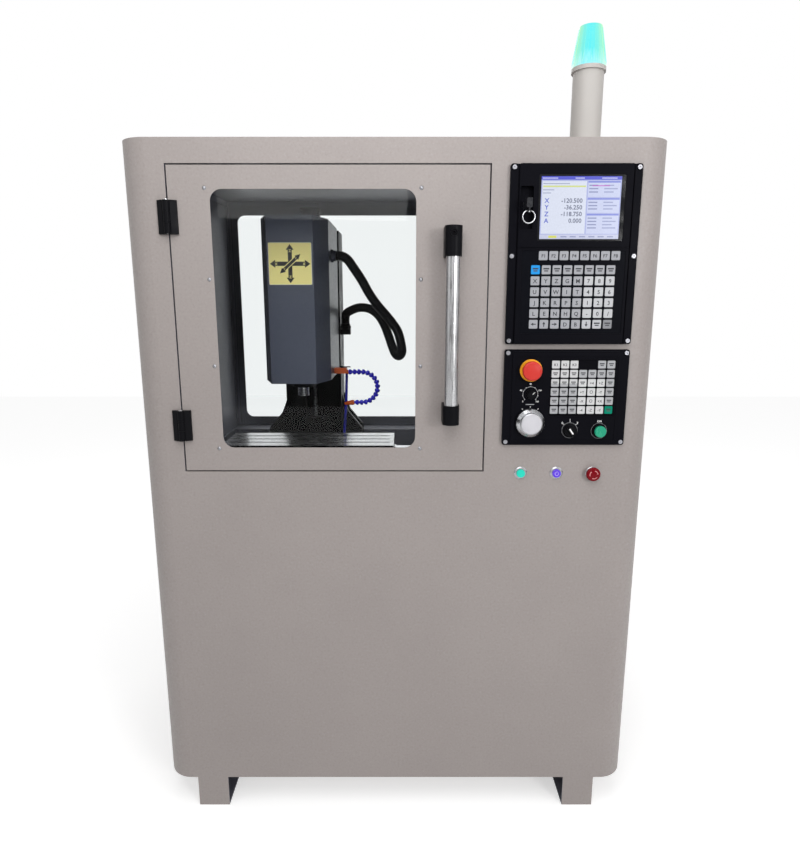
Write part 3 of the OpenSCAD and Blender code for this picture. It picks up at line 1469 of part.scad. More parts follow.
runner_left();
runner_right();
base_plate();
stand_frame();
front_fascia();
side_panel_left();
side_panel_right();
roof_panel();
rear_panel();
rear_window();
work_floor();
partition();
door_panel();
door_window();
window_screws();
handle_tube();
handle_brackets();
hinge_frame_leaves();
hinge_door_leaves();
hinge_pins();
controller_panel();
lcd_screen();
controller_keypad();
usb_stick();
panel_screws();
operator_panel();
operator_keypad();
estop_ring();
estop_button();
override_knob();
handwheel_dial();
switch_bezels();
mode_key();
start_button();
pilot_bezels();
cyan_button();
violet_button();
red_button();
lamp_stem();
lamp_lens();
mill_base();
column();
axis_motors();
z_ballscrew();
y_ballscrew();
saddle();
table();
table_brackets();
x_ballscrew();
x_motor();
head_casting();
head_cover();
spindle();
spindle_motor();
coolant_block();
coolant_lever();
coolant_hose();
coolant_nozzle();
cable_conduit();
coolant_tube();
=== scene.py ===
"""Looks of a small CNC milling machine that stands in its own sheet-metal cabinet.

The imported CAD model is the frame. This script gives every sub-part its finish, puts detailed pieces
where the solids are plain, and sets the camera, the floor and the light. Lengths in the classes are
millimetres, in the machine's own terms: x to the right, b depth behind the front skin, z up from the
floor. One function turns them into the metres of the row frame.
"""

import logging
import math
from dataclasses import dataclass, field
from enum import Enum
from functools import lru_cache
from typing import Any, Callable, Sequence

import bpy
import numpy as np
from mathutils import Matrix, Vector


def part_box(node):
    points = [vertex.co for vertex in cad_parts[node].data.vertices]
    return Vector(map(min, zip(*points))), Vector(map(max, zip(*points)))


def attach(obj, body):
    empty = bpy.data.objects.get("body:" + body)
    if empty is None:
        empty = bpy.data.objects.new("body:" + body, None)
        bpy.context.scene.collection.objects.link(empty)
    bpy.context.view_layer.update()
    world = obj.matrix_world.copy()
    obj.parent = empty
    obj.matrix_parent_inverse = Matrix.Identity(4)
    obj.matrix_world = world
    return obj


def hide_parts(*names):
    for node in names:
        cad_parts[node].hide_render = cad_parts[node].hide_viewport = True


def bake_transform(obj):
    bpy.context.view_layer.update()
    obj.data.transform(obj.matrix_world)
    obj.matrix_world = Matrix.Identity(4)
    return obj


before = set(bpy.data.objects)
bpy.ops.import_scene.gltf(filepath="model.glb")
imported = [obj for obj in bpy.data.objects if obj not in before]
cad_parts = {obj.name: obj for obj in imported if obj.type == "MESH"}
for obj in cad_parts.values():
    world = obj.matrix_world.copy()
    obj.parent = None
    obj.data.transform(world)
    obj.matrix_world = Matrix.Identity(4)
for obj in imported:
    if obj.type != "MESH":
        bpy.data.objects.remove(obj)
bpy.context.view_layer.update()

logging.basicConfig(level=logging.INFO, format="%(levelname)s %(message)s")
log = logging.getLogger("mill")

FRONT_Y = -372.5
"""Row-frame depth of the front skin, in millimetres."""


# ---------------------------------------------------------------- places and colours


def place(x: float, b: float, z: float) -> tuple[float, float, float]:
    """Turn a place in millimetres behind the front skin into metres of the row frame."""
    return (x / 1000, (FRONT_Y + b) / 1000, z / 1000)


def place_all(points: np.ndarray) -> np.ndarray:
    """Turn an array of (x, b, z) places in millimetres into metres of the row frame."""
    return (np.asarray(points, float) + [0, FRONT_Y, 0]) / 1000


def linear(code: str) -> tuple[float, float, float, float]:
    """Turn an sRGB hex value into a linear colour.

    Args:
        code: six hex digits, with or without a leading hash.

    Returns:
        Linear red, green, blue and an alpha of 1.
    """
    code = code.lstrip("#")
    parts = [int(code[i : i + 2], 16) / 255 for i in (0, 2, 4)]
    return (*[c / 12.92 if c <= 0.04045 else ((c + 0.055) / 1.055) ** 2.4 for c in parts], 1.0)


def per_metre(size_mm: float) -> float:
    """Texture scale whose features are about size_mm apart on Object coordinates."""
    return 1000 / size_mm


@dataclass
class Graph:
    """Node tree of a material or of the world, which starts empty.

    A finish's tree also knows its shader, and the place on the surface in Object coordinates.
    """

    owner: bpy.types.Material | bpy.types.World
    bsdf: bpy.types.Node | None = None
    at: bpy.types.NodeSocket | None = None

    def __post_init__(self) -> None:
        """Clear the owner's tree."""
        self.owner.use_nodes = True
        self.tree = self.owner.node_tree
        self.tree.nodes.clear()

    def add(self, kind: str, inputs: dict | None = None, **settings: Any) -> bpy.types.Node:
        """Add one node with its settings and what feeds it.

        Args:
            kind: the node's type name, without ShaderNode.
            inputs: for each input, by name or number, a socket that feeds it or the value that it holds.
            **settings: the node's own properties.

        Returns:
            The new node.
        """
        node = self.tree.nodes.new("ShaderNode" + kind)
        for name, value in settings.items():
            setattr(node, name, value)
        for name, value in (inputs or {}).items():
            if isinstance(value, bpy.types.NodeSocket):
                self.join(value, node.inputs[name])
            else:
                node.inputs[name].default_value = value
        return node

    def join(self, out: bpy.types.NodeSocket, into: bpy.types.NodeSocket) -> None:
        """Link an output to an input."""
        self.tree.links.new(out, into)

    def tint(self, share: bpy.types.NodeSocket, other: str) -> None:
        """Mix the base colour towards another by a share.

        Args:
            share: the socket that says how far, from 0 to 1.
            other: the other colour, in hex.
        """
        colour = self.bsdf.inputs["Base Color"]
        first = colour.links[0].from_socket if colour.is_linked else tuple(colour.default_value)
        mix = self.add("Mix", {"Factor": share, 6: first, 7: linear(other)}, data_type="RGBA")
        self.join(mix.outputs[2], colour)

    def mottle(self, pattern: bpy.types.Node, low: float, high: float, most: float, other: str) -> None:
        """Mix the base colour towards another where a pattern is near one end of its range.

        Args:
            pattern: the pattern's node.
            low: the pattern's value where the other colour starts.
            high: the value where it is strongest.
            most: its share there.
            other: the other colour, in hex.
        """
        share = self.add("MapRange", {"Value": pattern.outputs[0], "From Min": low, "From Max": high,
                                      "To Max": most})
        self.tint(share.outputs[0], other)

    def relief(self, height: bpy.types.Node, depth_mm: float, strength: float) -> None:
        """Raise the surface by a pattern, on top of what has already been raised.

        Args:
            height: the pattern's node, which runs from 0 to 1.
            depth_mm: how far the pattern's whole range rises, in millimetres.
            strength: how much of that rise bends the light, from 0 to 1.
        """
        normal = self.bsdf.inputs["Normal"]
        before = {"Normal": normal.links[0].from_socket} if normal.is_linked else {}
        bump = self.add("Bump", {"Height": height.outputs[0], "Distance": depth_mm / 1000,
                                 "Strength": strength, **before})
        self.join(bump.outputs[0], normal)

    def spread(self, pattern: bpy.types.Node, low: float, high: float) -> None:
        """Let the roughness run between two values with a pattern that goes from 0.3 to 0.7.

        Args:
            pattern: the pattern's node.
            low: the roughness where the pattern is 0.3 or less.
            high: the roughness where it is 0.7 or more.
        """
        span = self.add("MapRange", {"Value": pattern.outputs[0], "From Min": 0.3, "From Max": 0.7,
                                     "To Min": low, "To Max": high})
        self.join(span.outputs[0], self.bsdf.inputs["Roughness"])


# ---------------------------------------------------------------- finishes


@dataclass(frozen=True)
class Finish:
    """A material, and the record's slot that a new piece in it belongs to."""

    name: str
    slot: str
    colour: str
    roughness: float = 0.5
    metallic: float = 0.0
    ior: float = 1.5
    gloss: float = 0.5

    def material(self) -> bpy.types.Material:
        """Find this finish's material, or make it the first time that it is asked for.

        Returns:
            The material.
        """
        found = bpy.data.materials.get(self.name)
        if found is not None:
            return found
        made = bpy.data.materials.new(self.name)
        graph = Graph(made)
        out = graph.add("OutputMaterial")
        bsdf = graph.add("BsdfPrincipled", {"Base Color": linear(self.colour), "Roughness": self.roughness,
                                            "Metallic": self.metallic})
        if not self.metallic:
            bsdf.inputs["IOR"].default_value = self.ior
            bsdf.inputs["Specular IOR Level"].default_value = self.gloss
        graph.join(bsdf.outputs[0], out.inputs[0])
        graph.bsdf = bsdf
        graph.at = graph.add("TexCoord").outputs["Object"]
        self.dress(graph)
        return made

    def dress(self, graph: Graph) -> None:
        """Add the surface's own detail. A plain finish has none.

        Args:
            graph: the material's tree, with its shader.
        """


@dataclass(frozen=True)
class PowderCoat(Finish):
    """Polyester powder, sprayed and baked: a leathery grain that breaks the shine up into specks.

    The real grain is 1 to 2 mm across, too fine to show from the camera, so grain_mm is drawn 2 to 3
    times as coarse.
    """

    grain_mm: float = 4.2
    depth_mm: float = 0.22
    shade: str = "#8C8482"
    fleck: str = "#BDB7B5"
    inner: str = ""
    middle: tuple[float, float, float] = (0.0, 0.0275, 0.8)
    cloud_mm: float = 260.0

    def dress(self, graph: Graph) -> None:
        """Grain of the powder, faint clouds of film thickness, and a darker, bluer grey on faces that look
        inward.

        Args:
            graph: the material's tree, with its shader.
        """
        clouds = graph.add("TexNoise", {"Vector": graph.at, "Scale": per_metre(self.cloud_mm), "Detail": 4,
                                        "Roughness": 0.6})
        graph.mottle(clouds, 0.42, 0.75, 0.25, self.shade)
        cells = graph.add("TexVoronoi", {"Vector": graph.at, "Scale": per_metre(self.grain_mm)},
                          feature="SMOOTH_F1")
        fine = graph.add("TexNoise", {"Vector": graph.at, "Scale": per_metre(self.grain_mm * 1.2),
                                      "Detail": 3})
        graph.mottle(fine, 0.52, 0.75, 0.4, self.shade)
        graph.mottle(fine, 0.42, 0.25, 0.16, self.fleck)
        if self.inner:
            graph.tint(self.inwards(graph), self.inner)
        both = graph.add("Math", {0: cells.outputs[0], 1: fine.outputs[0]}, operation="ADD")
        graph.relief(both, self.depth_mm, 0.5)
        graph.spread(fine, self.roughness - 0.06, self.roughness + 0.1)

    def inwards(self, graph: Graph) -> bpy.types.NodeSocket:
        """Tell the faces that look inwards.

        Args:
            graph: the material's tree, with its shader.

        Returns:
            A socket that is 1 where the normal points at the cabinet's middle, which is where the dot
            product of the normal and the step from the middle to the place is below zero.
        """
        coord = graph.add("TexCoord")
        arm = graph.add("VectorMath", {0: coord.outputs["Object"], 1: self.middle}, operation="SUBTRACT")
        facing = graph.add("VectorMath", {0: arm.outputs[0], 1: coord.outputs["Normal"]},
                           operation="DOT_PRODUCT")
        return graph.add("Math", {0: facing.outputs["Value"], 1: -0.001}, operation="LESS_THAN").outputs[0]


@dataclass(frozen=True)
class Moulded(Finish):
    """Moulded plastic such as ABS or nylon: a spark-eroded tool leaves a fine even grain on it.

    The real grain is about 0.1 mm across, too fine to show, so grain_mm is drawn some ten times as coarse.
    """

    grain_mm: float = 0.9
    depth_mm: float = 0.03
    wear_mm: float = 35.0

    def dress(self, graph: Graph) -> None:
        """Grain of the tool, and handling that polishes it in patches.

        Args:
            graph: the material's tree, with its shader.
        """
        grain = graph.add("TexNoise", {"Vector": graph.at, "Scale": per_metre(self.grain_mm), "Detail": 2})
        worn = graph.add("TexNoise", {"Vector": graph.at, "Scale": per_metre(self.wear_mm), "Detail": 3})
        graph.relief(grain, self.depth_mm, 0.5)
        graph.spread(worn, self.roughness - 0.08, self.roughness + 0.08)


class Lay(Enum):
    """The way in which a cutter's or grinding wheel's marks run, as a stretch of the pattern on x, y, z."""

    ALONG_X = (0.03, 1.0, 1.0)
    ALONG_Z = (1.0, 1.0, 0.03)
    ALL_ROUND = (1.0, 1.0, 1.0)


@dataclass(frozen=True)
class CutMetal(Finish):
    """Machined or ground metal: fine parallel marks that draw highlights out into streaks.

    Real marks lie 0.05 to 0.2 mm apart, too fine to show, so mark_mm is drawn several times as coarse.
    """

    lay: Lay = Lay.ALL_ROUND
    mark_mm: float = 1.2
    depth_mm: float = 0.015
    stain: str = "#6A665F"
    film_mm: float = 60.0

    def dress(self, graph: Graph) -> None:
        """Cutter marks along one direction, and a thin film of oil that dulls it in patches.

        Args:
            graph: the material's tree, with its shader.
        """
        turned = graph.add("Mapping", {"Vector": graph.at, "Scale": self.lay.value})
        marks = graph.add("TexNoise", {"Vector": turned.outputs[0], "Scale": per_metre(self.mark_mm),
                                       "Detail": 4})
        film = graph.add("TexNoise", {"Vector": graph.at, "Scale": per_metre(self.film_mm), "Detail": 5,
                                      "Roughness": 0.65})
        graph.mottle(film, 0.5, 0.75, 0.35, self.stain)
        graph.relief(marks, self.depth_mm, 0.6)
        graph.spread(marks, self.roughness - 0.08, self.roughness + 0.14)


@dataclass(frozen=True)
class GroundTop(CutMetal):
    """Cast iron that is ground bright on top only: its slots and sides are tinted near black, partly a
    milled skin and partly painted shade in the slots.
    """

    # Near-black tint below the top: a milled skin, deepened into painted shade in the slots.
    skin: str = "#1B1B1D"
    ground_mm: float = 0.5

    def dress(self, graph: Graph) -> None:
        """The cutter's marks, then a near-black tint wherever the surface lies lower than the table's top:
        partly milled skin, partly painted shade in the slots.

        Args:
            graph: the material's tree, with its shader.
        """
        super().dress(graph)
        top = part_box(self.slot)[1].z
        height = graph.add("SeparateXYZ", {0: graph.at}).outputs["Z"]
        lower = graph.add("Math", {0: height, 1: top - self.ground_mm / 1000}, operation="LESS_THAN")
        # Painted shade: everything under the ground top goes near black, so the slots look shaded.
        graph.tint(lower.outputs[0], self.skin)


@dataclass(frozen=True)
class HandWheelMetal(Finish):
    """Turned aluminium wheel: a polished rim that mirrors the room, round a fine matt face.

    Real turning rings lie about 0.1 mm apart and wouldn't show, so ring_mm is drawn ten times as coarse.
    """

    centre: tuple[float, float] = (0.0, 0.0)
    face_r: float = 21.6
    rim: str = "#B5B6B9"
    ring_mm: float = 1.1
    finger_mm: float = 9.0

    def dress(self, graph: Graph) -> None:
        """Rim outside the face's radius, turning rings about the wheel's axis, and finger marks.

        Args:
            graph: the material's tree, with its shader.
        """
        middle = graph.add("VectorMath", {0: graph.at, 1: (self.centre[0] / 1000, 0, self.centre[1] / 1000)},
                           operation="SUBTRACT")
        flat = graph.add("VectorMath", {0: middle.outputs[0], 1: (1, 0, 1)}, operation="MULTIPLY")
        reach = graph.add("VectorMath", {0: flat.outputs[0]}, operation="LENGTH").outputs["Value"]
        outside = graph.add("Math", {0: reach, 1: self.face_r / 1000}, operation="GREATER_THAN").outputs[0]
        graph.tint(outside, self.rim)
        rings = graph.add("Math", {0: reach, 1: per_metre(self.ring_mm) * 2 * math.pi},
                          operation="MULTIPLY")
        groove = graph.add("Math", {0: rings.outputs[0]}, operation="SINE")
        graph.relief(groove, 0.004, 0.5)
        marks = graph.add("TexNoise", {"Vector": graph.at, "Scale": per_metre(self.finger_mm), "Detail": 4})
        matt = graph.add("MapRange", {"Value": marks.outputs[0], "From Min": 0.3, "From Max": 0.7,
                                      "To Min": self.roughness - 0.05, "To Max": self.roughness + 0.1})
        bright = graph.add("MapRange", {"Value": marks.outputs[0], "From Min": 0.3, "From Max": 0.7,
                                        "To Min": 0.14, "To Max": 0.24})
        both = graph.add("Mix", {"Factor": outside, 2: matt.outputs[0], 3: bright.outputs[0]},
                         data_type="FLOAT")
        graph.join(both.outputs[0], graph.bsdf.inputs["Roughness"])


@dataclass(frozen=True)
class KeyRingStick(Finish):
    """Memory stick of black plastic whose ring and plug are bright metal, parted by place."""

    ring_top: float = 0.0
    plug_b: float = -10.0
    metal: str = "#DCDDE0"
    wear_mm: float = 6.0

    def dress(self, graph: Graph) -> None:
        """Metal below the eye's height and behind the plug's shoulder, plastic between them.

        Args:
            graph: the material's tree, with its shader.
        """
        axes = graph.add("SeparateXYZ", {0: graph.at})
        low = graph.add("Math", {0: axes.outputs["Z"], 1: self.ring_top / 1000}, operation="LESS_THAN")
        deep = graph.add("Math", {0: axes.outputs["Y"], 1: (FRONT_Y + self.plug_b) / 1000},
                         operation="GREATER_THAN")
        metal = graph.add("Math", {0: low.outputs[0], 1: deep.outputs[0]}, operation="MAXIMUM").outputs[0]
        graph.tint(metal, self.metal)
        graph.join(metal, graph.bsdf.inputs["Metallic"])
        wear = graph.add("TexNoise", {"Vector": graph.at, "Scale": per_metre(self.wear_mm), "Detail": 4})
        graph.relief(wear, 0.02, 0.4)
        graph.spread(wear, self.roughness - 0.08, self.roughness + 0.08)


@dataclass(frozen=True)
class CastPaint(Finish):
    """Enamel over filled and sanded cast iron: a soft skin with shallow waves and a few dusty patches.

    Real pores are about 1 mm across, too fine to show, so pore_mm is drawn four times as coarse.
    """

    wave_mm: float = 14.0
    dust: str = "#5E5F63"
    pore_mm: float = 4.0
    dust_mm: float = 90.0

    def dress(self, graph: Graph) -> None:
        """Waves of the casting under the paint, its pores, and dust on it.

        Args:
            graph: the material's tree, with its shader.
        """
        wave = graph.add("TexNoise", {"Vector": graph.at, "Scale": per_metre(self.wave_mm), "Detail": 4})
        pores = graph.add("TexNoise", {"Vector": graph.at, "Scale": per_metre(self.pore_mm), "Detail": 2})
        dust = graph.add("TexNoise", {"Vector": graph.at, "Scale": per_metre(self.dust_mm), "Detail": 2,
                                      "Roughness": 0.5})
        graph.mottle(dust, 0.48, 0.8, 0.12, self.dust)
        graph.relief(wave, 0.18, 0.4)
        graph.relief(pores, 0.015, 0.4)
        graph.spread(dust, self.roughness - 0.1, self.roughness + 0.15)


@dataclass(frozen=True)
class ClearSheet(Finish):
    """Polycarbonate sheet: nearly colourless, a little soft in its reflections, with wipe marks.

    Its index is set below polycarbonate's 1.58, because the two coated faces give back little of the room.
    """

    ior: float = 1.2
    smear_mm: float = 30.0

    def dress(self, graph: Graph) -> None:
        """Wipe marks that only show in the gloss, and a free way in for the light around.

        Args:
            graph: the material's tree, with its shader.
        """
        graph.bsdf.inputs["Transmission Weight"].default_value = 1.0
        wiped = graph.add("Mapping", {"Vector": graph.at, "Scale": (0.3, 1, 1),
                                      "Rotation": (0, math.radians(25), 0)})
        smear = graph.add("TexNoise", {"Vector": wiped.outputs[0], "Scale": per_metre(self.smear_mm),
                                       "Detail": 5})
        graph.spread(smear, self.roughness, self.roughness + 0.01)
        rays = graph.add("LightPath")
        carried = graph.add("Math", {0: rays.outputs["Is Shadow Ray"], 1: rays.outputs["Is Diffuse Ray"]},
                            operation="MAXIMUM")
        free = graph.add("BsdfTransparent", {"Color": (0.98, 0.985, 0.985, 1)})
        surface = graph.bsdf.outputs[0].links[0].to_socket
        pane = graph.add("MixShader", {0: carried.outputs[0], 1: graph.bsdf.outputs[0], 2: free.outputs[0]})
        graph.join(pane.outputs[0], surface)


@dataclass(frozen=True)
class LitLens(Finish):
    """Tinted polycarbonate lens with light behind it, which turns to the rim's colour seen edge on."""

    rim: str = "#8DF5C8"
    glow: float = 0.8
    core: str = ""
    foot: float = 0.0
    rib_mm: float = 4.0
    haze_mm: float = 12.0

    def near_bulb(self, graph: Graph, leak: bpy.types.NodeSocket) -> bpy.types.NodeSocket:
        """Add paler light low in the lens, over the bulb, with an upper edge that the ribs make uneven.

        The ribs are 2 mm wide in truth, and rib_mm is drawn twice as coarse, so that they show.

        Args:
            graph: the material's tree, with its shader.
            leak: the colour of the light before.

        Returns:
            The socket of the colour after.
        """
        ribs = graph.add("Mapping", {"Vector": graph.at, "Scale": (1.0, 1.0, 0.05)})
        wave = graph.add("TexNoise", {"Vector": ribs.outputs[0], "Scale": per_metre(self.rib_mm),
                                      "Detail": 2})
        height = graph.add("SeparateXYZ", {0: graph.at}).outputs["Z"]
        climb = graph.add("Math", {0: wave.outputs[0], 1: 0.05, 2: self.foot / 1000 - 0.025},
                          operation="MULTIPLY_ADD")
        below = graph.add("Math", {0: climb.outputs[0], 1: height}, operation="SUBTRACT")
        share = graph.add("MapRange", {"Value": below.outputs[0], "From Min": -0.01, "From Max": 0.03,
                                       "To Max": 0.7})
        return graph.add("Mix", {"Factor": share.outputs[0], 6: leak, 7: linear("#E4FBFF")},
                         data_type="RGBA").outputs[2]

    def dress(self, graph: Graph) -> None:
        """Light that leaks out, in the core's colour ahead and in the rim's towards the edges.

        Args:
            graph: the material's tree, with its shader.
        """
        edge = graph.add("LayerWeight", {"Blend": 0.75})
        leak = graph.add("Mix", {"Factor": edge.outputs["Facing"], 6: linear(self.core or self.colour),
                                 7: linear(self.rim)}, data_type="RGBA").outputs[2]
        if self.foot:
            leak = self.near_bulb(graph, leak)
        graph.join(leak, graph.bsdf.inputs["Emission Color"])
        graph.bsdf.inputs["Emission Strength"].default_value = self.glow
        haze = graph.add("TexNoise", {"Vector": graph.at, "Scale": per_metre(self.haze_mm), "Detail": 3})
        graph.spread(haze, self.roughness - 0.05, self.roughness + 0.1)


@dataclass(frozen=True)
class Patch:
    """A rectangle on the front of the machine, in millimetres, and the colour that it has."""

    left: float
    right: float
    low: float
    top: float
    colour: str


@dataclass(frozen=True)
class KeySheet(Finish):
    """Polyester keypad sheet, printed black from behind, with domed keys printed in their own colours.

    The film's real grain is about 0.05 mm across and wouldn't show, so grain_mm is drawn far coarser.
    """

    key_face: float = -9.15
    patches: tuple[Patch, ...] = ()
    key: str = "#BFC1C4"
    wear_mm: float = 18.0
    grain_mm: float = 0.8

    def dress(self, graph: Graph) -> None:
        """Key colour in front of the sheet, then each patch's, then a fine matt grain.

        Args:
            graph: the material's tree, with its shader.
        """
        axes = graph.add("SeparateXYZ", {0: graph.at})
        level = (FRONT_Y + self.key_face) / 1000
        raised = graph.add("Math", {0: axes.outputs["Y"], 1: level}, operation="LESS_THAN").outputs[0]
        graph.tint(raised, self.key)
        for patch in self.patches:
            share = raised
            for axis, limit, test in (("X", patch.left, "GREATER_THAN"), ("X", patch.right, "LESS_THAN"),
                                      ("Z", patch.low, "GREATER_THAN"), ("Z", patch.top, "LESS_THAN")):
                side = graph.add("Math", {0: axes.outputs[axis], 1: limit / 1000}, operation=test)
                share = graph.add("Math", {0: share, 1: side.outputs[0]}, operation="MULTIPLY").outputs[0]
            graph.tint(share, patch.colour)
        worn = graph.add("TexNoise", {"Vector": graph.at, "Scale": per_metre(self.wear_mm), "Detail": 3})
        grain = graph.add("TexNoise", {"Vector": graph.at, "Scale": per_metre(self.grain_mm), "Detail": 2})
        graph.relief(grain, 0.01, 0.5)
        graph.spread(worn, self.roughness - 0.06, self.roughness + 0.08)


@dataclass(frozen=True)
class Printed(Finish):
    """Flat ink whose colour is stored on the mesh, and that may be lit from behind.

    A real screen's cells are 0.25 mm across, too fine to show, so cell_mm is drawn four times as coarse.
    """

    glow: float = 0.0
    cell_mm: float = 1.0

    def dress(self, graph: Graph) -> None:
        """Ink colour from the mesh, and on a lit screen the faint unevenness of its cells.

        Args:
            graph: the material's tree, with its shader.
        """
        ink = graph.add("Attribute", attribute_name="ink").outputs["Color"]
        if not self.glow:
            graph.join(ink, graph.bsdf.inputs["Base Color"])
            return
        cells = graph.add("TexNoise", {"Vector": graph.at, "Scale": per_metre(self.cell_mm), "Detail": 1})
        level = graph.add("MapRange", {"Value": cells.outputs[0], "From Min": 0.3, "From Max": 0.7,
                                       "To Min": 0.93, "To Max": 1.05})
        lit = graph.add("VectorMath", {0: ink, "Scale": level.outputs[0]}, operation="SCALE")
        graph.join(lit.outputs[0], graph.bsdf.inputs["Emission Color"])
        graph.bsdf.inputs["Emission Strength"].default_value = self.glow


# Sprayed and baked powder: its orange-peel grain breaks the shine into specks, so the grey looks soft.
PAINT = PowderCoat("Grey leather-grain powder coat", "paint", "#9D9592", 0.44, inner="#666771")
# The same powder, darker and more even: the chamber's walls look deep, with a faint sheen.
INNER_PAINT = PowderCoat("Dark satin powder coat", "inner_paint", "#5E5F69", 0.42, grain_mm=3.5,
                         depth_mm=0.05, shade="#53545E", fleck="#6A6B75")
# Plain powder on the welded stand: duller and rougher than the cabinet's skin.
FRAME_PAINT = PowderCoat("Grey stand powder coat", "frame_steel", "#7B7473", 0.5, shade="#625C5B",
                         fleck="#8A8482")
# Finer blue-black powder on folded sheet: flat faces with a cool, soft sheen.
HEAD_PAINT = PowderCoat("Blue-black satin powder coat", "head_paint", "#464B5B", 0.34, grain_mm=4.0,
                        depth_mm=0.03, shade="#343947", fleck="#464B5C")
# Extruded polycarbonate: almost unseen, until wipe marks soften what it mirrors.
CLEAR = ClearSheet("Clear polycarbonate", "clear", "#F8FAFA", 0.01)
# Brushed along its length: highlights are drawn out into long bright streaks.
STEEL = CutMetal("Brushed stainless steel", "steel", "#C9C9CB", 0.26, 1.0, lay=Lay.ALONG_Z)
# Ground and hardened steel: clean and bright, dulled here and there by oil.
GROUND = CutMetal("Ground steel", "screw", "#B9BABD", 0.22, 1.0)
# Cast iron, ground on top alone: silvery streaks along the slots, which stay dark with a milled skin and
# painted shade.
TABLE_IRON = GroundTop("Ground cast iron", "table", "#C6C6C8", 0.22, 1.0, lay=Lay.ALONG_X, depth_mm=0.005)
# Milled aluminium: pale and even, with close tool marks.
ALUMINIUM = CutMetal("Machined aluminium", "wheel_silver", "#D6D6D9", 0.30, 1.0, mark_mm=0.6)
# Turned and anodised: a mirror-like rim round a pale matt face with fine rings.
WHEEL = HandWheelMetal("Turned anodised aluminium", "wheel_silver", "#C6C5CA", 0.42, 1.0,
                       centre=(284.0, 947.0))
# Satin chrome on turned brass: grey rings with soft bright edges.
CHROME = CutMetal("Satin-chromed brass", "chrome", "#A9AAAE", 0.24, 1.0, depth_mm=0.004)
# Nickel on steel: small glints of a warm grey.
SCREW = CutMetal("Nickelled screw steel", "screw", "#8E8F93", 0.28, 1.0, depth_mm=0.004)
# Zinc on steel: a pale grey with a cloudy shine.
ZINC = CutMetal("Zinc-plated screw steel", "screw", "#A6A6AC", 0.34, 1.0, mark_mm=2.0)
# Nylon filled with glass fibre: a dull black that takes hardly any shine.
BLACK_PLASTIC = Moulded("Black glass-filled nylon", "black_plastic", "#111114", 0.36, gloss=0.05,
                        depth_mm=0.015)
# Moulded shell with a metal ring and plug: smooth black beside a bright glint.
STICK = KeyRingStick("Black ABS and nickelled steel", "black_plastic", "#1C1D22", 0.3, gloss=0.4,
                     ring_top=1369.0)
# Grained sheet under a polyester film: a black that stays deep, since it gives back very little.
PANEL = Moulded("Black grained panel", "panel_black", "#101015", 0.36, gloss=0.02, grain_mm=1.2,
                depth_mm=0.02)
# Polished cover glass: dark and smooth, with clear reflections.
SCREEN_GLASS = Moulded("Dark LCD glass", "screen", "#0B0C10", 0.12, depth_mm=0.001)
# Liquid crystal lit from behind: its colours glow, a little unevenly from cell to cell.
SCREEN_IMAGE = Printed("Lit LCD image", "screen", "#000000", 0.3, glow=0.95)
# Screen-printed ink: flat and matt, with no depth.
INK = Printed("Screen-printed ink", "keys", "#FFFFFF", 0.6)
# Calendered vinyl: a smooth off-white whose thin edge frames the print.
SIGN_WHITE = Moulded("White vinyl sign", "yellow", "#EDE9DC", 0.4, depth_mm=0.005)
# Ink on vinyl: flat colour with a little shine.
SIGN_INK = Printed("Printed sign", "yellow", "#FFFFFF", 0.4)
# Embossed polyester, printed from behind: satin keys that stand out of a near-black sheet.
CONTROLLER_KEYS = KeySheet(
    "Controller keypad polyester", "keys", "#0F1015", 0.36, gloss=0.02, key_face=-9.4, key="#A2A3A8",
    patches=(Patch(272, 293, 1249, 1271, "#2D93DC"), Patch(379.5, 456, 1163, 1249, "#BFC0C3"),
             Patch(379.5, 424, 1140, 1163, "#B9BABE"), Patch(424, 456, 1140, 1163, "#8A8B8F")))
# The same embossed film: its keys are a little paler, and its sheet a little blacker.
OPERATOR_KEYS = KeySheet(
    "Operator keypad polyester", "keys", "#0D0D11", 0.36, gloss=0.02, key_face=-8.4, key="#ABACAF",
    patches=(Patch(322, 382, 1030, 1079, "#C9C9CA"), Patch(382, 440, 964, 1040, "#CDCDCE"),
             Patch(440, 458, 964, 983, "#12846A")))
# Moulded ABS: a warm, even yellow with a soft shine.
YELLOW = Moulded("Yellow ABS", "yellow", "#F2A81D", 0.35, depth_mm=0.01)
# Moulded ABS: a strong red whose broad top holds a soft highlight.
RED = Moulded("Red ABS", "red", "#CC362E", 0.32, gloss=0.3, depth_mm=0.01)
# Polished ABS: a deep red with a small, sharper highlight.
DARK_RED = Moulded("Deep red ABS", "dark_red", "#780613", 0.2, gloss=0.12, depth_mm=0.01)
# Moulded ABS: an even blue-green with a soft shine.
GREEN = Moulded("Green ABS", "green", "#129A76", 0.32, depth_mm=0.01)
# Tinted polycarbonate lit from within: it glows evenly and darkens at its edge.
CYAN = LitLens("Lit cyan lens", "cyan", "#10BEA8", 0.3, rim="#0C8E80", glow=0.34)
# Tinted polycarbonate lit from within: it glows, and pales at its edge.
VIOLET = LitLens("Lit violet lens", "violet", "#4F2CC4", 0.3, rim="#9A84E8", glow=0.3)
# Moulded off-white ABS: matt, with a leathery grain.
LAMP_STEM = Moulded("Off-white ABS", "lamp_stem", "#B3AFAB", 0.45, grain_mm=2.5, depth_mm=0.05)
# Tinted polycarbonate over a bulb: strong cyan that pales towards its foot and its edges.
LAMP_LENS = LitLens("Lit lamp lens", "lamp_lens", "#0B6A70", 0.28, gloss=0.15, rim="#C6F2A8", glow=0.9,
                    core="#00DDF2", foot=1683.0)
# Enamel over cast iron: near black and a little wavy, with dull patches.
CASTING = CastPaint("Black enamelled casting", "casting", "#09090B", 0.36, gloss=0.05)
# The same enamel, blacker still: the column reads as one dark mass.
COLUMN_PAINT = CastPaint("Black enamelled column", "column_black", "#070709", 0.34, gloss=0.05)
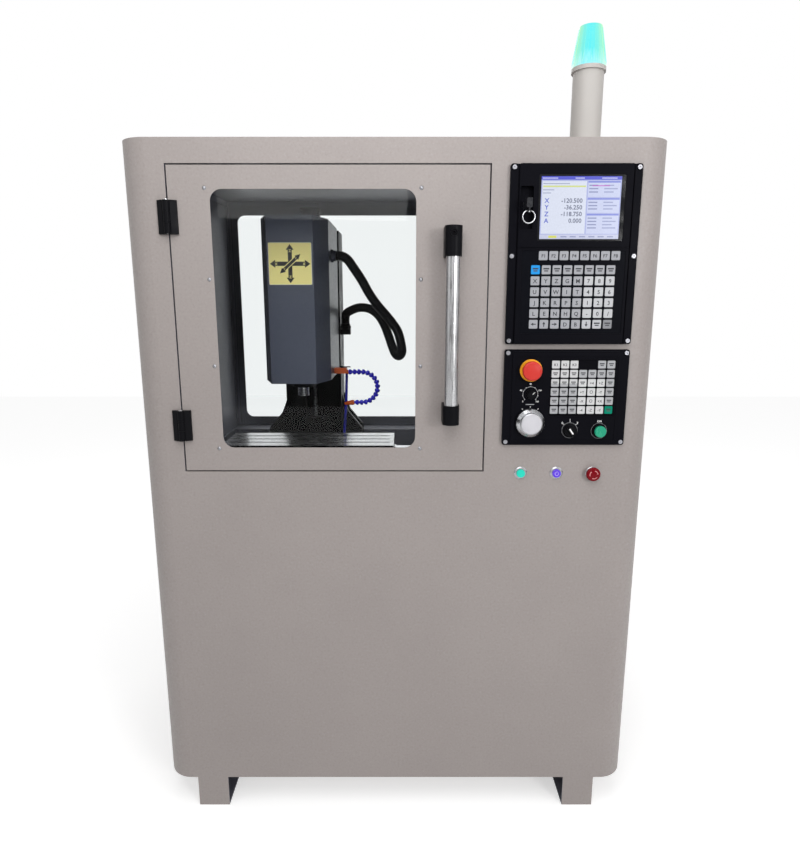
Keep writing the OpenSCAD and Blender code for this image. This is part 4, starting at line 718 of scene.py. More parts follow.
# Baked motor enamel: a dull black with a fine grain.
MOTOR = Moulded("Black motor enamel", "motor", "#141517", 0.42, gloss=0.1, grain_mm=1.2, depth_mm=0.05)
# Moulded acetal: a waxy orange with a soft shine.
ORANGE = Moulded("Orange acetal", "orange", "#F26A2C", 0.4)
# Moulded acetal: a strong blue, smooth on every link.
BLUE_HOSE = Moulded("Blue acetal", "blue_hose", "#3A33F2", 0.35, depth_mm=0.01)
# Ribbed nylon: black ribs that each catch a thin line of light.
CONDUIT = Moulded("Black ribbed nylon conduit", "conduit", "#0E0E10", 0.36, gloss=0.3, grain_mm=2.0)
# Extruded polyurethane: a smooth blue with a narrow highlight.
SUPPLY = Moulded("Blue polyurethane tube", "supply_blue", "#3A3FDC", 0.3, depth_mm=0.004)


# ---------------------------------------------------------------- shapes


def stand(name: str, data: Any) -> bpy.types.Object:
    """Put a new object with this name and data in the scene."""
    made = bpy.data.objects.new(name, data)
    bpy.context.scene.collection.objects.link(made)
    return made


def mesh_piece(name: str, points: np.ndarray, faces: np.ndarray, body: str, finish: Finish,
               smooth: bool = True) -> bpy.types.Object:
    """Make a piece from points in metres and quads, dress it, and let it ride on a body.

    Args:
        name: the piece's name.
        points: an array of places, one row each.
        faces: an array of corner numbers, one row a face.
        body: the CAD body that it moves with, or nothing when it rides on none.
        finish: what it is made of.
        smooth: whether its faces are shaded smooth.

    Returns:
        The new object.
    """
    mesh = bpy.data.meshes.new(name)
    mesh.from_pydata(np.asarray(points, float).reshape(-1, 3).tolist(), [], np.asarray(faces, int).tolist())
    mesh.polygons.foreach_set("use_smooth", np.full(len(mesh.polygons), smooth))
    mesh.update()
    piece = stand(name, mesh)
    mesh.materials.append(finish.material())
    if body:
        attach(piece, body)
    return piece


def closed_faces(rows: int, sides: int) -> np.ndarray:
    """Quads of a tube of rings, closed at both ends round two more points that follow the rings' own.

    A point's number is its ring's number times the sides, plus its own number in the ring.

    Args:
        rows: how many rings.
        sides: how many points a ring has, an even number.

    Returns:
        The skin's quads, which turn anticlockwise seen from outside a tube carried along its rings, then
        a flat fan of thin quads on the first ring and one on the last.
    """
    row = np.arange(rows - 1)[:, None] * sides
    column = np.arange(sides)[None, :]
    after = (column + 1) % sides
    skin = np.stack([row + column, row + after, row + sides + after, row + sides + column], -1)
    count = rows * sides
    end = count - sides
    k = np.arange(0, sides, 2)
    start_cap = np.stack([np.full(len(k), count), (k + 2) % sides, k + 1, k], -1)
    end_cap = np.stack([np.full(len(k), count + 1), end + k, end + k + 1, end + (k + 2) % sides], -1)
    return np.vstack([skin.reshape(-1, 4), start_cap, end_cap])


def resample(path: np.ndarray, step: float) -> np.ndarray:
    """Points at an even step along a smooth curve through the given ones.

    The curve is a Catmull-Rom spline: each span leaves one point and reaches the next along the line
    between its neighbours. It is worked out finely, its length summed, and its points read at even lengths.

    Args:
        path: the points that the curve goes through.
        step: the distance from one new point to the next, or the nearest that divides the length evenly.

    Returns:
        The new points, one row each.
    """
    fine_steps = 24
    ends = np.vstack([path[0], path, path[-1]])
    t = np.linspace(0, 1, fine_steps, endpoint=False)[None, :, None]
    a, b, c, d = (ends[i : len(ends) - 3 + i, None, :] for i in range(4))
    fine = 0.5 * (2 * b + (c - a) * t + (2 * a - 5 * b + 4 * c - d) * t**2 + (3 * b - a - 3 * c + d) * t**3)
    fine = np.vstack([fine.reshape(-1, 3), path[-1]])
    run = np.r_[0, np.cumsum(np.linalg.norm(np.diff(fine, axis=0), axis=1))]
    even = np.linspace(0, run[-1], max(int(run[-1] / step), 2) + 1)
    return np.stack([np.interp(even, run, fine[:, k]) for k in range(3)], -1)


def heading(degrees: float) -> np.ndarray:
    """Step of one unit (across, up) at an angle, anticlockwise from the right."""
    return np.array([math.cos(math.radians(degrees)), math.sin(math.radians(degrees))])


def sweep(path: np.ndarray, radius: np.ndarray, sides: int) -> tuple[np.ndarray, np.ndarray]:
    """Carry a circle along a path, with its own radius at each point, and close both ends.

    At each point the circle lies across the path's direction. Its first axis is the direction crossed
    with a slanted fixed line, and its second is the direction crossed with the first.

    Args:
        path: the centre line's points.
        radius: the circle's radius at each point.
        sides: how many points the circle has.

    Returns:
        The points, and quads whose ends meet in a flat fan of thin quads.
    """
    along = np.gradient(path, axis=0)
    along /= np.linalg.norm(along, axis=1, keepdims=True)
    first = np.cross(along, [0.13, 1.0, 0.21])
    first /= np.linalg.norm(first, axis=1, keepdims=True)
    second = np.cross(along, first)
    turn = np.linspace(0, 2 * math.pi, sides, endpoint=False)
    ring = np.cos(turn)[None, :, None] * first[:, None] + np.sin(turn)[None, :, None] * second[:, None]
    skin = path[:, None] + np.asarray(radius)[:, None, None] * ring
    points = np.vstack([skin.reshape(-1, 3), path[0], path[-1]])
    return points, closed_faces(len(path), sides)


@dataclass
class InkSheet:
    """Flat marks in several colours on one plane, gathered into one mesh.

    Every mark is a set of points (across, up) in millimetres, its faces, a colour and a layer. A layer
    lies 0.04 mm in front of the one below, so that marks that cross don't share a plane.
    """

    name: str
    layer_mm: float = 0.04
    points: list[np.ndarray] = field(default_factory=list)
    faces: list[list[int]] = field(default_factory=list)
    inks: list[np.ndarray] = field(default_factory=list)
    count: int = 0

    def mark(self, points: np.ndarray, faces: Sequence[Sequence[int]], colour: str, layer: int = 0) -> None:
        """Add a mark.

        Args:
            points: its places, across and up.
            faces: its faces' corner numbers, anticlockwise seen from in front.
            colour: its ink.
            layer: how many layers in front of the sheet it lies.
        """
        flat = np.asarray(points, float)
        self.points.append(np.column_stack([flat, np.full(len(flat), layer * self.layer_mm)]))
        self.faces.extend([[self.count + i for i in face] for face in faces])
        self.inks.append(np.tile(linear(colour), (len(flat), 1)))
        self.count += len(flat)

    def box(self, left: float, low: float, width: float, height: float, colour: str, layer: int = 0) -> None:
        """Add an upright rectangle by its lower left corner and its size."""
        corners = [(left, low), (left + width, low), (left + width, low + height), (left, low + height)]
        self.mark(np.array(corners), [[0, 1, 2, 3]], colour, layer)

    def line(self, start: Sequence[float], end: Sequence[float], width: float, colour: str,
             layer: int = 0) -> None:
        """Add a straight stroke of one width: its corners lie half a width to each side of both ends.

        Args:
            start: one end's middle.
            end: the other end's middle.
            width: how wide it is.
            colour: its ink.
            layer: how many layers in front of the sheet it lies.
        """
        a, b = np.array(start, float), np.array(end, float)
        side = np.array([b[1] - a[1], a[0] - b[0]]) / np.linalg.norm(b - a) * width / 2
        self.mark(np.array([a + side, b + side, b - side, a - side]), [[0, 1, 2, 3]], colour, layer)

    def words(self, text: str, middle: Sequence[float], height: float, colour: str, layer: int = 0) -> None:
        """Add generic letters or numbers of one height, centred on a point."""
        points, faces = glyphs(text)
        self.mark(points * height + np.array(middle), faces, colour, layer)

    def ring(self, middle: Sequence[float], radius: float, width: float, colour: str, layer: int = 0,
             span: tuple[float, float] = (0.0, 360.0)) -> None:
        """Add a ring or an arc: two circles, each its radius times the cosine and sine of even angles.

        Args:
            middle: the circles' centre.
            radius: the radius of the stroke's middle.
            width: how wide the stroke is.
            colour: its ink.
            layer: how many layers in front of the sheet it lies.
            span: the first and the last angle, in degrees.
        """
        steps = 49
        turn = np.radians(np.linspace(*span, steps))
        spokes = np.column_stack([np.cos(turn), np.sin(turn)])
        points = np.vstack([middle + (radius - width / 2) * spokes, middle + (radius + width / 2) * spokes])
        faces = [[i, i + steps, i + steps + 1, i + 1] for i in range(steps - 1)]
        self.mark(points, faces, colour, layer)

    def lay(self, body: str, finish: Finish,
            carry: Callable[[np.ndarray], np.ndarray]) -> bpy.types.Object:
        """Turn the marks into a piece.

        Args:
            body: the CAD body that it moves with.
            finish: the ink.
            carry: turns an array of (across, up, out) into places (x, b, z) in millimetres.

        Returns:
            The piece.
        """
        mesh = bpy.data.meshes.new(self.name)
        mesh.from_pydata(place_all(carry(np.vstack(self.points))).tolist(), [], self.faces)
        ink = mesh.attributes.new("ink", "FLOAT_COLOR", "POINT")
        ink.data.foreach_set("color", np.vstack(self.inks).ravel())
        mesh.update()
        piece = stand(self.name, mesh)
        mesh.materials.append(finish.material())
        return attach(piece, body)


@lru_cache(maxsize=None)
def glyphs(text: str) -> tuple[np.ndarray, list[list[int]]]:
    """Outline of a short text in the built-in face, one unit high and centred.

    Args:
        text: letters or numbers.

    Returns:
        Points across and up, and the faces that fill them.
    """
    curve = bpy.data.curves.new("glyph", "FONT")
    curve.body = text
    curve.resolution_u = 2
    curve.offset = 0.018
    holder = bpy.data.objects.new("glyph", curve)
    mesh = bpy.data.meshes.new_from_object(holder)
    flat = np.array([v.co for v in mesh.vertices], float)[:, :2]
    faces = [list(polygon.vertices) for polygon in mesh.polygons]
    bpy.data.objects.remove(holder)
    bpy.data.meshes.remove(mesh)
    bpy.data.curves.remove(curve)
    low, high = flat.min(0), flat.max(0)
    cap_height = 0.73
    return (flat - [(low[0] + high[0]) / 2, cap_height / 2]) / cap_height, faces


def on_front(b: float) -> Callable[[np.ndarray], np.ndarray]:
    """A carry for marks on a plane that faces forwards at depth b: across is x and up is z."""
    return lambda flat: np.column_stack([flat[:, 0], b - flat[:, 2], flat[:, 1]])


# ---------------------------------------------------------------- view and surroundings


@dataclass
class Studio:
    """Camera, plain floor and soft light around the machine."""

    camera_at: tuple[float, float, float] = (10.7, -1276.0, 1201.0)
    pitch_down: float = 11.3
    focal_px: float = 613.0
    frame_px: tuple[int, int] = (800, 844)
    middle_px: tuple[float, float] = (400.0, 422.0)
    floor_colour: str = "#E6E6E6"
    near_lift: float = 0.5
    far_lift: float = 0.72
    near_m: float = 0.6
    far_m: float = 2.2
    soft_light: float = 0.30
    room: float = 0.22

    def build(self) -> None:
        """Set the view's colours, the camera, the lamps and the floor."""
        scene = bpy.context.scene
        scene.view_settings.view_transform = "Standard"
        self.camera()
        self.floor()
        self.light()

    def camera(self) -> None:
        """A camera that looks back along Y and a little down, its sensor across the long side."""
        data = bpy.data.cameras.new("camera")
        data.sensor_width = 36.0
        long_side = max(self.frame_px)
        data.lens = self.focal_px * data.sensor_width / long_side
        data.shift_x = (self.frame_px[0] / 2 - self.middle_px[0]) / long_side
        data.shift_y = (self.middle_px[1] - self.frame_px[1] / 2) / long_side
        made = stand("camera", data)
        made.location = place(*self.camera_at)
        made.rotation_euler = (math.radians(90 - self.pitch_down), 0, 0)
        bpy.context.scene.camera = made

    def seen(self, graph: Graph) -> bpy.types.NodeSocket:
        """Tell the rays that see from those that only carry light.

        Args:
            graph: the tree that asks.

        Returns:
            A socket that is 1 on the rays of the camera, of mirrors and of glass, and 0 on all others.
        """
        rays = graph.add("LightPath")
        first = graph.add("Math", {0: rays.outputs["Is Camera Ray"], 1: rays.outputs["Is Glossy Ray"]},
                          operation="MAXIMUM")
        return graph.add("Math", {0: first.outputs[0], 1: rays.outputs["Is Transmission Ray"]},
                         operation="MAXIMUM").outputs[0]

    def pale(self) -> bpy.types.Material:
        """A matt floor that looks white in the open and greyer where the machine shades it.

        Returns:
            The material.
        """
        made = bpy.data.materials.new("Pale floor")
        graph = Graph(made)
        matt = graph.add("BsdfDiffuse", {"Color": linear(self.floor_colour)})
        reach = graph.add("VectorMath", {0: graph.add("TexCoord").outputs["Object"]}, operation="LENGTH")
        fade = graph.add("MapRange", {"Value": reach.outputs["Value"], "From Min": self.near_m,
                                      "From Max": self.far_m, "To Min": self.near_lift,
                                      "To Max": self.far_lift})
        strength = graph.add("Math", {0: self.seen(graph), 1: fade.outputs[0]}, operation="MULTIPLY")
        lift = graph.add("Emission", {"Color": (1, 1, 1, 1), "Strength": strength.outputs[0]})
        both = graph.add("AddShader", {0: matt.outputs[0], 1: lift.outputs[0]})
        graph.join(both.outputs[0], graph.add("OutputMaterial").inputs[0])
        return made

    def floor(self) -> None:
        """A plain sheet under the machine."""
        side = 6.0
        corners = np.array([[-side, -side, 0], [side, -side, 0], [side, side, 0], [-side, side, 0]], float)
        mesh = bpy.data.meshes.new("floor")
        mesh.from_pydata(corners.tolist(), [], [[0, 1, 2, 3]])
        made = stand("floor", mesh)
        mesh.materials.append(self.pale())

    def backdrop(self, graph: Graph) -> bpy.types.NodeSocket:
        """Strength of the white surroundings, by the way that a ray leaves.

        It is 1 where they are seen directly or through glass, and behind the machine. Gloss sees them fade
        from 1 overhead to a dim room at eye level in front, as in a workshop with its lights in the roof.

        Args:
            graph: the world's tree.

        Returns:
            The strength's socket.
        """
        way = graph.add("SeparateXYZ", {0: graph.add("TexCoord").outputs["Generated"]})
        overhead = graph.add("MapRange", {"Value": way.outputs["Z"], "From Min": 0.0, "From Max": 0.6})
        behind = graph.add("MapRange", {"Value": way.outputs["Y"], "From Min": -0.1, "From Max": 0.3})
        bright = graph.add("Math", {0: overhead.outputs[0], 1: behind.outputs[0]}, operation="MAXIMUM")
        level = graph.add("MapRange", {"Value": bright.outputs[0], "To Min": self.room, "To Max": 1.0})
        glossy = graph.add("LightPath").outputs["Is Glossy Ray"]
        plain = graph.add("Math", {0: 1.0, 1: glossy}, operation="SUBTRACT")
        return graph.add("Math", {0: level.outputs[0], 1: plain.outputs[0]},
                         operation="MAXIMUM").outputs[0]

    def light(self) -> None:
        """Soft world and six plain lamps: one overhead, two far in front, and three around.

        The second lamp in front stands to the right, so that it reaches in by the window.
        """
        world = bpy.data.worlds.new("studio")
        bpy.context.scene.world = world
        graph = Graph(world)
        soft = graph.add("Background", {"Color": (1, 1, 1, 1), "Strength": self.soft_light})
        white = graph.add("Background", {"Color": (1, 1, 1, 1), "Strength": self.backdrop(graph)})
        mix = graph.add("MixShader", {0: self.seen(graph), 1: soft.outputs[0], 2: white.outputs[0]})
        graph.join(mix.outputs[0], graph.add("OutputWorld").inputs[0])
        self.lamp("over", (0, -820, 2300), (38, 0, 0), 1.4, 14)
        self.lamp("high_front", (-500, -2600, 2250), (65, 0, -9), 1.2, 15)
        self.lamp("into_window", (1900, -2600, 1550), (83, 0, 37), 0.8, 32)
        self.lamp("left", (-2300, -900, 1700), (62, 0, -68), 1.6, 5)
        self.lamp("right", (2300, -900, 1700), (62, 0, 68), 1.6, 6)
        self.lamp("behind", (0, 2200, 3000), (-46, 0, 0), 1.2, 16)

    def lamp(self, name: str, at: tuple[float, float, float], turn: tuple[float, float, float],
             size: float, power: float) -> None:
        """Add one square lamp.

        Args:
            name: its name.
            at: its place in millimetres.
            turn: its turn about X, Y, Z in degrees, from pointing straight down.
            size: its side in metres.
            power: its power in watts.
        """
        data = bpy.data.lights.new(name, "AREA")
        data.shape = "SQUARE"
        data.size = size
        data.energy = power
        made = stand(name, data)
        made.location = place(*at)
        made.rotation_euler = tuple(math.radians(a) for a in turn)
        made.visible_camera = False


# ---------------------------------------------------------------- the machine


def dress(node: str, finish: Finish) -> None:
    """Give a CAD sub-part its material.

    Args:
        node: the sub-part's name.
        finish: what it is made of.
    """
    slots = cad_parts[node].data.materials
    slots.clear()
    slots.append(finish.material())


@dataclass
class Assembly:
    """A group of sub-parts that are built and dressed together."""

    finishes: dict[str, Finish] = field(default_factory=dict)

    def build(self) -> list[bpy.types.Object]:
        """Dress the CAD sub-parts, then make the group's own pieces."""
        for node, finish in self.finishes.items():
            dress(node, finish)
        return self.pieces()

    def pieces(self) -> list[bpy.types.Object]:
        """Make the pieces that the solids don't have. A plain group has none."""
        return []


@dataclass
class Conduit(Assembly):
    """Ribbed sleeve for the motor cables, from the head's boss in a free loop to the column's gland."""

    route: tuple[tuple[float, float, float], ...] = (
        (-158.6, 400, 1314), (-154.6, 400, 1314), (-148.6, 400, 1314), (-138.6, 400, 1311.5),
        (-126.6, 400, 1303), (-113.6, 401, 1285), (-91.6, 403, 1252), (-72.6, 406, 1218),
        (-52.6, 409, 1189), (-29.6, 413, 1162), (-9.6, 418, 1137), (6.4, 424, 1110), (16, 436, 1063.4),
        (9, 452, 1046.4), (-2, 472, 1049.4), (-12, 488, 1070.4), (-22, 501, 1098.4), (-35, 515, 1130.4),
        (-53, 532, 1157.4), (-79, 552, 1174.4), (-110, 574, 1177.4), (-137, 596, 1168.4),
        (-153, 619, 1158.4), (-156, 627, 1144.4), (-156, 627, 1135.4), (-156, 627, 1128.4))
    diameter: float = 26.0
    rib_pitch: float = 4.0
    rib_depth: float = 1.3
    rib_steps: int = 6
    sides: int = 24

    def pieces(self) -> list[bpy.types.Object]:
        """One tube whose radius rises and falls as a rounded wave, once for every rib.

        Returns:
            The sleeve, in a list of its own.
        """
        path = resample(np.array(self.route, float), self.rib_pitch / self.rib_steps)
        wave = np.cos(2 * math.pi * np.arange(len(path)) / self.rib_steps)
        crest = self.diameter / 2 - self.rib_depth * (1 - np.sign(wave) * np.sqrt(np.abs(wave))) / 2
        points, faces = sweep(path, crest, self.sides)
        tube = mesh_piece("conduit_sleeve", place_all(points), faces, "", CONDUIT)
        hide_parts("cable_conduit")
        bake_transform(tube)
        return [tube]


@dataclass
class SupplyTube(Assembly):
    """Soft tube that brings coolant from the ledge behind the table to the barb behind the head's block."""

    route: tuple[tuple[float, float, float], ...] = (
        (-160, 563, 778.4), (-160, 563, 800.4), (-157, 556, 830.4), (-152, 530, 866.4),
        (-147.5, 508.4, 912.5), (-144.5, 490.4, 957.5), (-142.5, 480.4, 987.5), (-142.5, 470.4, 1003.5),
        (-142.5, 459.4, 1007.5), (-142.5, 450.4, 1007.5))
    diameter: float = 8.0
    step: float = 3.0
    sides: int = 20

    def pieces(self) -> list[bpy.types.Object]:
        """A smooth round tube along the route.

        Returns:
            The tube, in a list of its own.
        """
        path = resample(np.array(self.route, float), self.step)
        points, faces = sweep(path, np.full(len(path), self.diameter / 2), self.sides)
        tube = mesh_piece("coolant_supply", place_all(points), faces, "", SUPPLY)
        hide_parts("coolant_tube")
        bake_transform(tube)
        return [tube]


@dataclass
class Cabinet(Assembly):
    """Folded and welded sheet-metal cabinet on two channels."""

    finishes: dict[str, Finish] = field(default_factory=lambda: {
        **dict.fromkeys(("runner_left", "runner_right", "base_plate", "front_fascia", "side_panel_left",
                         "side_panel_right", "roof_panel", "rear_panel"), PAINT),
        "stand_frame": FRAME_PAINT, "rear_window": CLEAR, "work_floor": INNER_PAINT,
        "partition": INNER_PAINT,
    })


@dataclass
class Door(Assembly):
    """Folded door with its window, bar handle and two hinges."""

    finishes: dict[str, Finish] = field(default_factory=lambda: {
        "door_panel": PAINT, "door_window": CLEAR, "window_screws": SCREW, "handle_tube": STEEL,
        "handle_brackets": BLACK_PLASTIC, "hinge_frame_leaves": BLACK_PLASTIC,
        "hinge_door_leaves": BLACK_PLASTIC, "hinge_pins": STEEL,
    })


@dataclass(frozen=True)
class KeyGrid:
    """Rows of keys: where the first one's middle is, and how far apart they are, in millimetres."""

    first: tuple[float, float]
    pitch: float
    rows: tuple[str, ...]
    face: float

    def spots(self) -> list[tuple[float, float, str]]:
        """Every key's middle (x, z) and legend. Spaces part a row's legends, and a dot skips a key."""
        return [(self.first[0] + i * self.pitch, self.first[1] - j * self.pitch, legend)
                for j, row in enumerate(self.rows) for i, legend in enumerate(row.split()) if legend != "."]


@dataclass
class Controls(Assembly):
    """Numerical control above, operator's panel below it, and three pilot lights."""

    finishes: dict[str, Finish] = field(default_factory=lambda: {
        "controller_panel": PANEL, "lcd_screen": SCREEN_GLASS, "controller_keypad": CONTROLLER_KEYS,
        "usb_stick": STICK, "panel_screws": ZINC, "operator_panel": PANEL,
        "operator_keypad": OPERATOR_KEYS, "estop_ring": YELLOW, "estop_button": RED,
        "override_knob": BLACK_PLASTIC, "handwheel_dial": WHEEL, "switch_bezels": BLACK_PLASTIC,
        "mode_key": BLACK_PLASTIC, "start_button": GREEN, "pilot_bezels": CHROME, "cyan_button": CYAN,
        "violet_button": VIOLET, "red_button": DARK_RED,
    })
    function_keys: KeyGrid = KeyGrid((297.0, 1287.0), 20.7, ("F1 F2 F3 F4 F5 F6 F7 F8",), -10.2)
    main_keys: KeyGrid = KeyGrid((282.5, 1259.5), 21.6, (
        "= = = = = = = =", "X Y Z G M 7 8 9", "U V W I T 4 5 6", "J K R P S 1 2 3", "L E N H Q - 0 /",
        "< ^ > D B v = ="), -10.2)
    operator_keys: KeyGrid = KeyGrid((333.5, 1069.0), 19.1, (
        "K1 K2 K3 . . = =", "= = = = = = =", "= = = = +4 +Z =", "= = = +Y ~ -Y =", "= = = -X ~ +X =",
        "= = = -4 -Z -Y ="), -9.2)
    screen_box: tuple[float, float, float, float] = (287.5, 1319.0, 157.0, 118.0)
    screen_b: float = -9.05
    panel_b: float = -9.0
    knob_at: tuple[float, float] = (283.0, 1007.0)
    wheel_at: tuple[float, float] = (284.0, 947.0)
    mode_at: tuple[float, float] = (369.0, 930.0)
    start_at: tuple[float, float] = (431.0, 929.0)

    def pieces(self) -> list[bpy.types.Object]:
        """Key legends, the picture on the screen and the switches' scales.

        Returns:
            The pieces.
        """
        return [self.legends("controller_legends", (self.function_keys, self.main_keys), 8.2),
                self.legends("operator_legends", (self.operator_keys,), 6.8),
                self.screen(), self.scales(), self.wheel_scale(), self.knob_mark(), self.mode_mark(),
                self.power_mark(), self.release_marks()]

    def legends(self, name: str, grids: Sequence[KeyGrid], height: float) -> bpy.types.Object:
        """Dark generic letters, numbers, arrows and bars on the keys.

        Args:
            name: the piece's name.
            grids: the keys, which share one face.
            height: how tall the letters are, in millimetres.

        Returns:
            The piece.
        """
        sheet = InkSheet(name)
        turns = {">": 0, "^": 90, "<": 180, "v": 270}
        for x, z, legend in (spot for grid in grids for spot in grid.spots()):
            if legend in turns:
                self.arrow(sheet, (x, z), height * 1.3, turns[legend], "#2A2B30")
            elif legend == "=":
                sheet.box(x - height * 0.72, z + height * 0.08, height * 1.44, height * 0.34, "#26272C")
                sheet.box(x - height * 0.5, z - height * 0.42, height, height * 0.3, "#3E3F45")
            elif legend == "~":
                sheet.ring(np.array([x, z]), height * 0.42, height * 0.16, "#3A3B40")
            else:
                size = height if len(legend) == 1 else height * 0.82
                sheet.words(legend, (x, z - 0.3), size, "#2A2B30")
        return sheet.lay("machine", INK, on_front(grids[0].face - 0.03))

    @staticmethod
    def arrow(sheet: InkSheet, middle: Sequence[float], length: float, turn: float, colour: str) -> None:
        """Add an arrow with a triangular head, turned about its middle.

        Args:
            sheet: the sheet that gets it.
            middle: where its middle is.
            length: how long it is.
            turn: its angle in degrees, anticlockwise from the right.
            colour: its ink.
        """
        shape = np.array([(-0.5, -0.09), (0.0, -0.09), (0.0, 0.09), (-0.5, 0.09),
                          (0.0, -0.3), (0.5, 0.0), (0.0, 0.3)])
        across, up = heading(turn)
        spin = np.array([[across, up], [-up, across]])
        sheet.mark(shape * length @ spin + np.array(middle), [[0, 1, 2, 3], [4, 5, 6]], colour)

    def screen(self) -> bpy.types.Object:
        """A generic position display: title bar, four axis readings, a side panel and a foot bar.

        Returns:
            The piece.
        """
        sheet = InkSheet("screen_image")
        left, low, width, height = self.screen_box
        sheet.box(left, low, width, height, "#AEB6E4")
        sheet.box(left, low + height - 6.5, width, 6.5, "#4A50D0", 1)
        for at, long in ((2, 30), (66, 18), (118, 30)):
            sheet.box(left + at, low + height - 4.4, long, 1.8, "#C9CCF4", 2)
        sheet.box(left + 2, low + 10, width * 0.555, height - 19, "#DCE2F3", 1)
        rules = (("#9EA6C4", 52), ("#D3DE8C", 84), ("#9EA6C4", 22), ("#9EA6C4", 16))
        for k, (tone, long) in enumerate(rules):
            sheet.box(left + 3.5, low + height - 14.5 - 5.8 * k, long, 3.0 if k == 1 else 1.6, tone, 2)
        readings = (("X", "-120.500"), ("Y", "-36.250"), ("Z", "-118.750"), ("A", "0.000"))
        for k, (axis, value) in enumerate(readings):
            z = low + height - 45 - 12.6 * k
            sheet.words(axis, (left + 12, z), 9.0, "#5465CC", 2)
            points, _ = glyphs(value)
            sheet.words(value, (left + 82 - points[:, 0].max() * 8.6, z), 8.6, "#5C6380", 2)
        self.figures(sheet, left + width * 0.585, low + 10, width * 0.4, height - 19)
        sheet.box(left, low, width, 8.5, "#C9CEE8", 1)
        sheet.box(left + 18, low + 2, 16, 4.5, "#D8DC62", 2)
        for k in range(6):
            sheet.box(left + 42 + 18.5 * k, low + 3.2, 12, 2.2, "#8D95BE", 2)
        return sheet.lay("machine", SCREEN_IMAGE, on_front(self.screen_b))

    @staticmethod
    def figures(sheet: InkSheet, left: float, low: float, width: float, height: float) -> None:
        """Add three framed blocks of short rows of figures, the top one under a magenta rule.

        Args:
            sheet: the sheet that gets them.
            left: the blocks' left edge.
            low: their lower edge.
            width: how wide they are.
            height: how high all three are together.
        """
        for share, tall in ((0.70, 0.30), (0.40, 0.28), (0.0, 0.38)):
            sheet.box(left, low + share * height, width, tall * height, "#CBD2F0", 1)
            sheet.box(left, low + (share + tall) * height - 3, width, 3, "#7F8ADC", 2)
            for k in range(int(tall * height / 6.5) - 1):
                z = low + (share + tall) * height - 9 - 6.2 * k
                sheet.box(left + 2, z, width * 0.28, 2.2, "#8890BC", 2)
                sheet.box(left + width * 0.5, z, width * (0.42 if k % 2 else 0.3), 2.2, "#9AA2CC", 2)
        sheet.box(left + 8, low + height - 9.5, width * 0.55, 1.6, "#C25CC8", 3)

    def scales(self) -> bpy.types.Object:
        """White scales round the override knob, the handwheel, the mode switch and the start button, and
        grey rings round the last two that are painted highlights of metal bezel rings.

        Returns:
            The piece.
        """
        sheet = InkSheet("switch_scales")
        white = "#F2F2F2"
        knob, wheel, mode = (np.array(at) for at in (self.knob_at, self.wheel_at, self.mode_at))
        for k in range(9):
            way = heading(225 - 33.75 * k)
            sheet.line(knob + 15.6 * way, knob + 17.2 * way, 1.0, white)
            if k % 2 == 0:
                sheet.words(str(20 * k), knob + 21.6 * way, 3.4, white)
        sheet.ring(knob, 15.6, 0.6, "#C4C5C8", span=(-45.0, 225.0))
        sheet.box(self.knob_at[0] - 9, self.knob_at[1] - 22.5, 18, 1.6, "#A9AAAD")
        for turn in (60, 90, 120):
            way = heading(turn)
            sheet.line(wheel + 31.5 * way, wheel + 34.5 * way, 1.1, white)
        for turn, word in ((135, "0"), (90, "1"), (45, "2")):
            way = heading(turn)
            sheet.line(mode + 17.4 * way, mode + 19.4 * way, 1.2, white)
            sheet.words(word, mode + 22.5 * way, 4.6, white)
        # Painted highlight: a grey ring stands for the bright metal ring round the mode switch's bezel.
        sheet.ring(mode, 16.4, 0.8, "#8C8D90")
        sheet.words("ON", (self.start_at[0], self.start_at[1] + 20.5), 4.4, white)
        # Painted highlight: the same grey ring round the start button.
        sheet.ring(np.array(self.start_at), 16.4, 0.6, "#8C8D90")
        return sheet.lay("machine", INK, on_front(self.panel_b - 0.04))

    def wheel_scale(self) -> bpy.types.Object:
        """Fifty strokes on the handwheel's sloping rim, every fifth of them longer.

        The rim is a cone: its height grows by 6 mm while its radius falls from 29.5 to 24 mm, so a
        mark at radius r lies 9 + 6 (29.5 - r) / 5.5 mm above the panel, and 0.03 mm clear of the rim.

        Returns:
            The piece.
        """
        foot_r, top_r = 29.5, 24.0
        foot_b, rise = 9.03, 6
        sheet = InkSheet("handwheel_scale")
        for k in range(50):
            way = heading(7.2 * k)
            sheet.line((24.4 if k % 5 == 0 else 26.6) * way, 29.2 * way, 0.55, "#1A1B1E")

        def on_cone(flat: np.ndarray) -> np.ndarray:
            """Wrap the marks on the rim's cone.

            Args:
                flat: places (across, up, out) in millimetres, from the wheel's middle.

            Returns:
                Places (x, b, z) in millimetres.
            """
            radius = np.hypot(flat[:, 0], flat[:, 1])
            lift = foot_b + rise * (foot_r - radius) / (foot_r - top_r) + flat[:, 2]
            return np.column_stack([self.wheel_at[0] + flat[:, 0], self.panel_b - lift,
                                    self.wheel_at[1] + flat[:, 1]])

        return sheet.lay("handwheel", INK, on_cone)

    def knob_mark(self) -> bpy.types.Object:
        """White pointer on the override knob's top.

        Returns:
            The piece.
        """
        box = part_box("override_knob")
        sheet = InkSheet("override_pointer")
        x, z = self.knob_at
        sheet.line((x + 1.5, z + 1.5), (x + 6.2, z + 6.2), 1.3, "#E4E4E4")
        return sheet.lay("override", INK, on_front(box[0].y * 1000 - FRONT_Y - 0.05))

    def mode_mark(self) -> bpy.types.Object:
        """White pointer let into the mode key's grip, which leans 35 degrees to the left.

        Returns:
            The piece.
        """
        sheet = InkSheet("mode_pointer")
        way = heading(125)
        middle = np.array(self.mode_at)
        sheet.line(middle - 6.5 * way, middle + 7.5 * way, 3.0, "#F0F0F0")
        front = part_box("mode_key")[0].y * 1000 - FRONT_Y
        return sheet.lay("mode_selector", INK, on_front(front - 0.05))

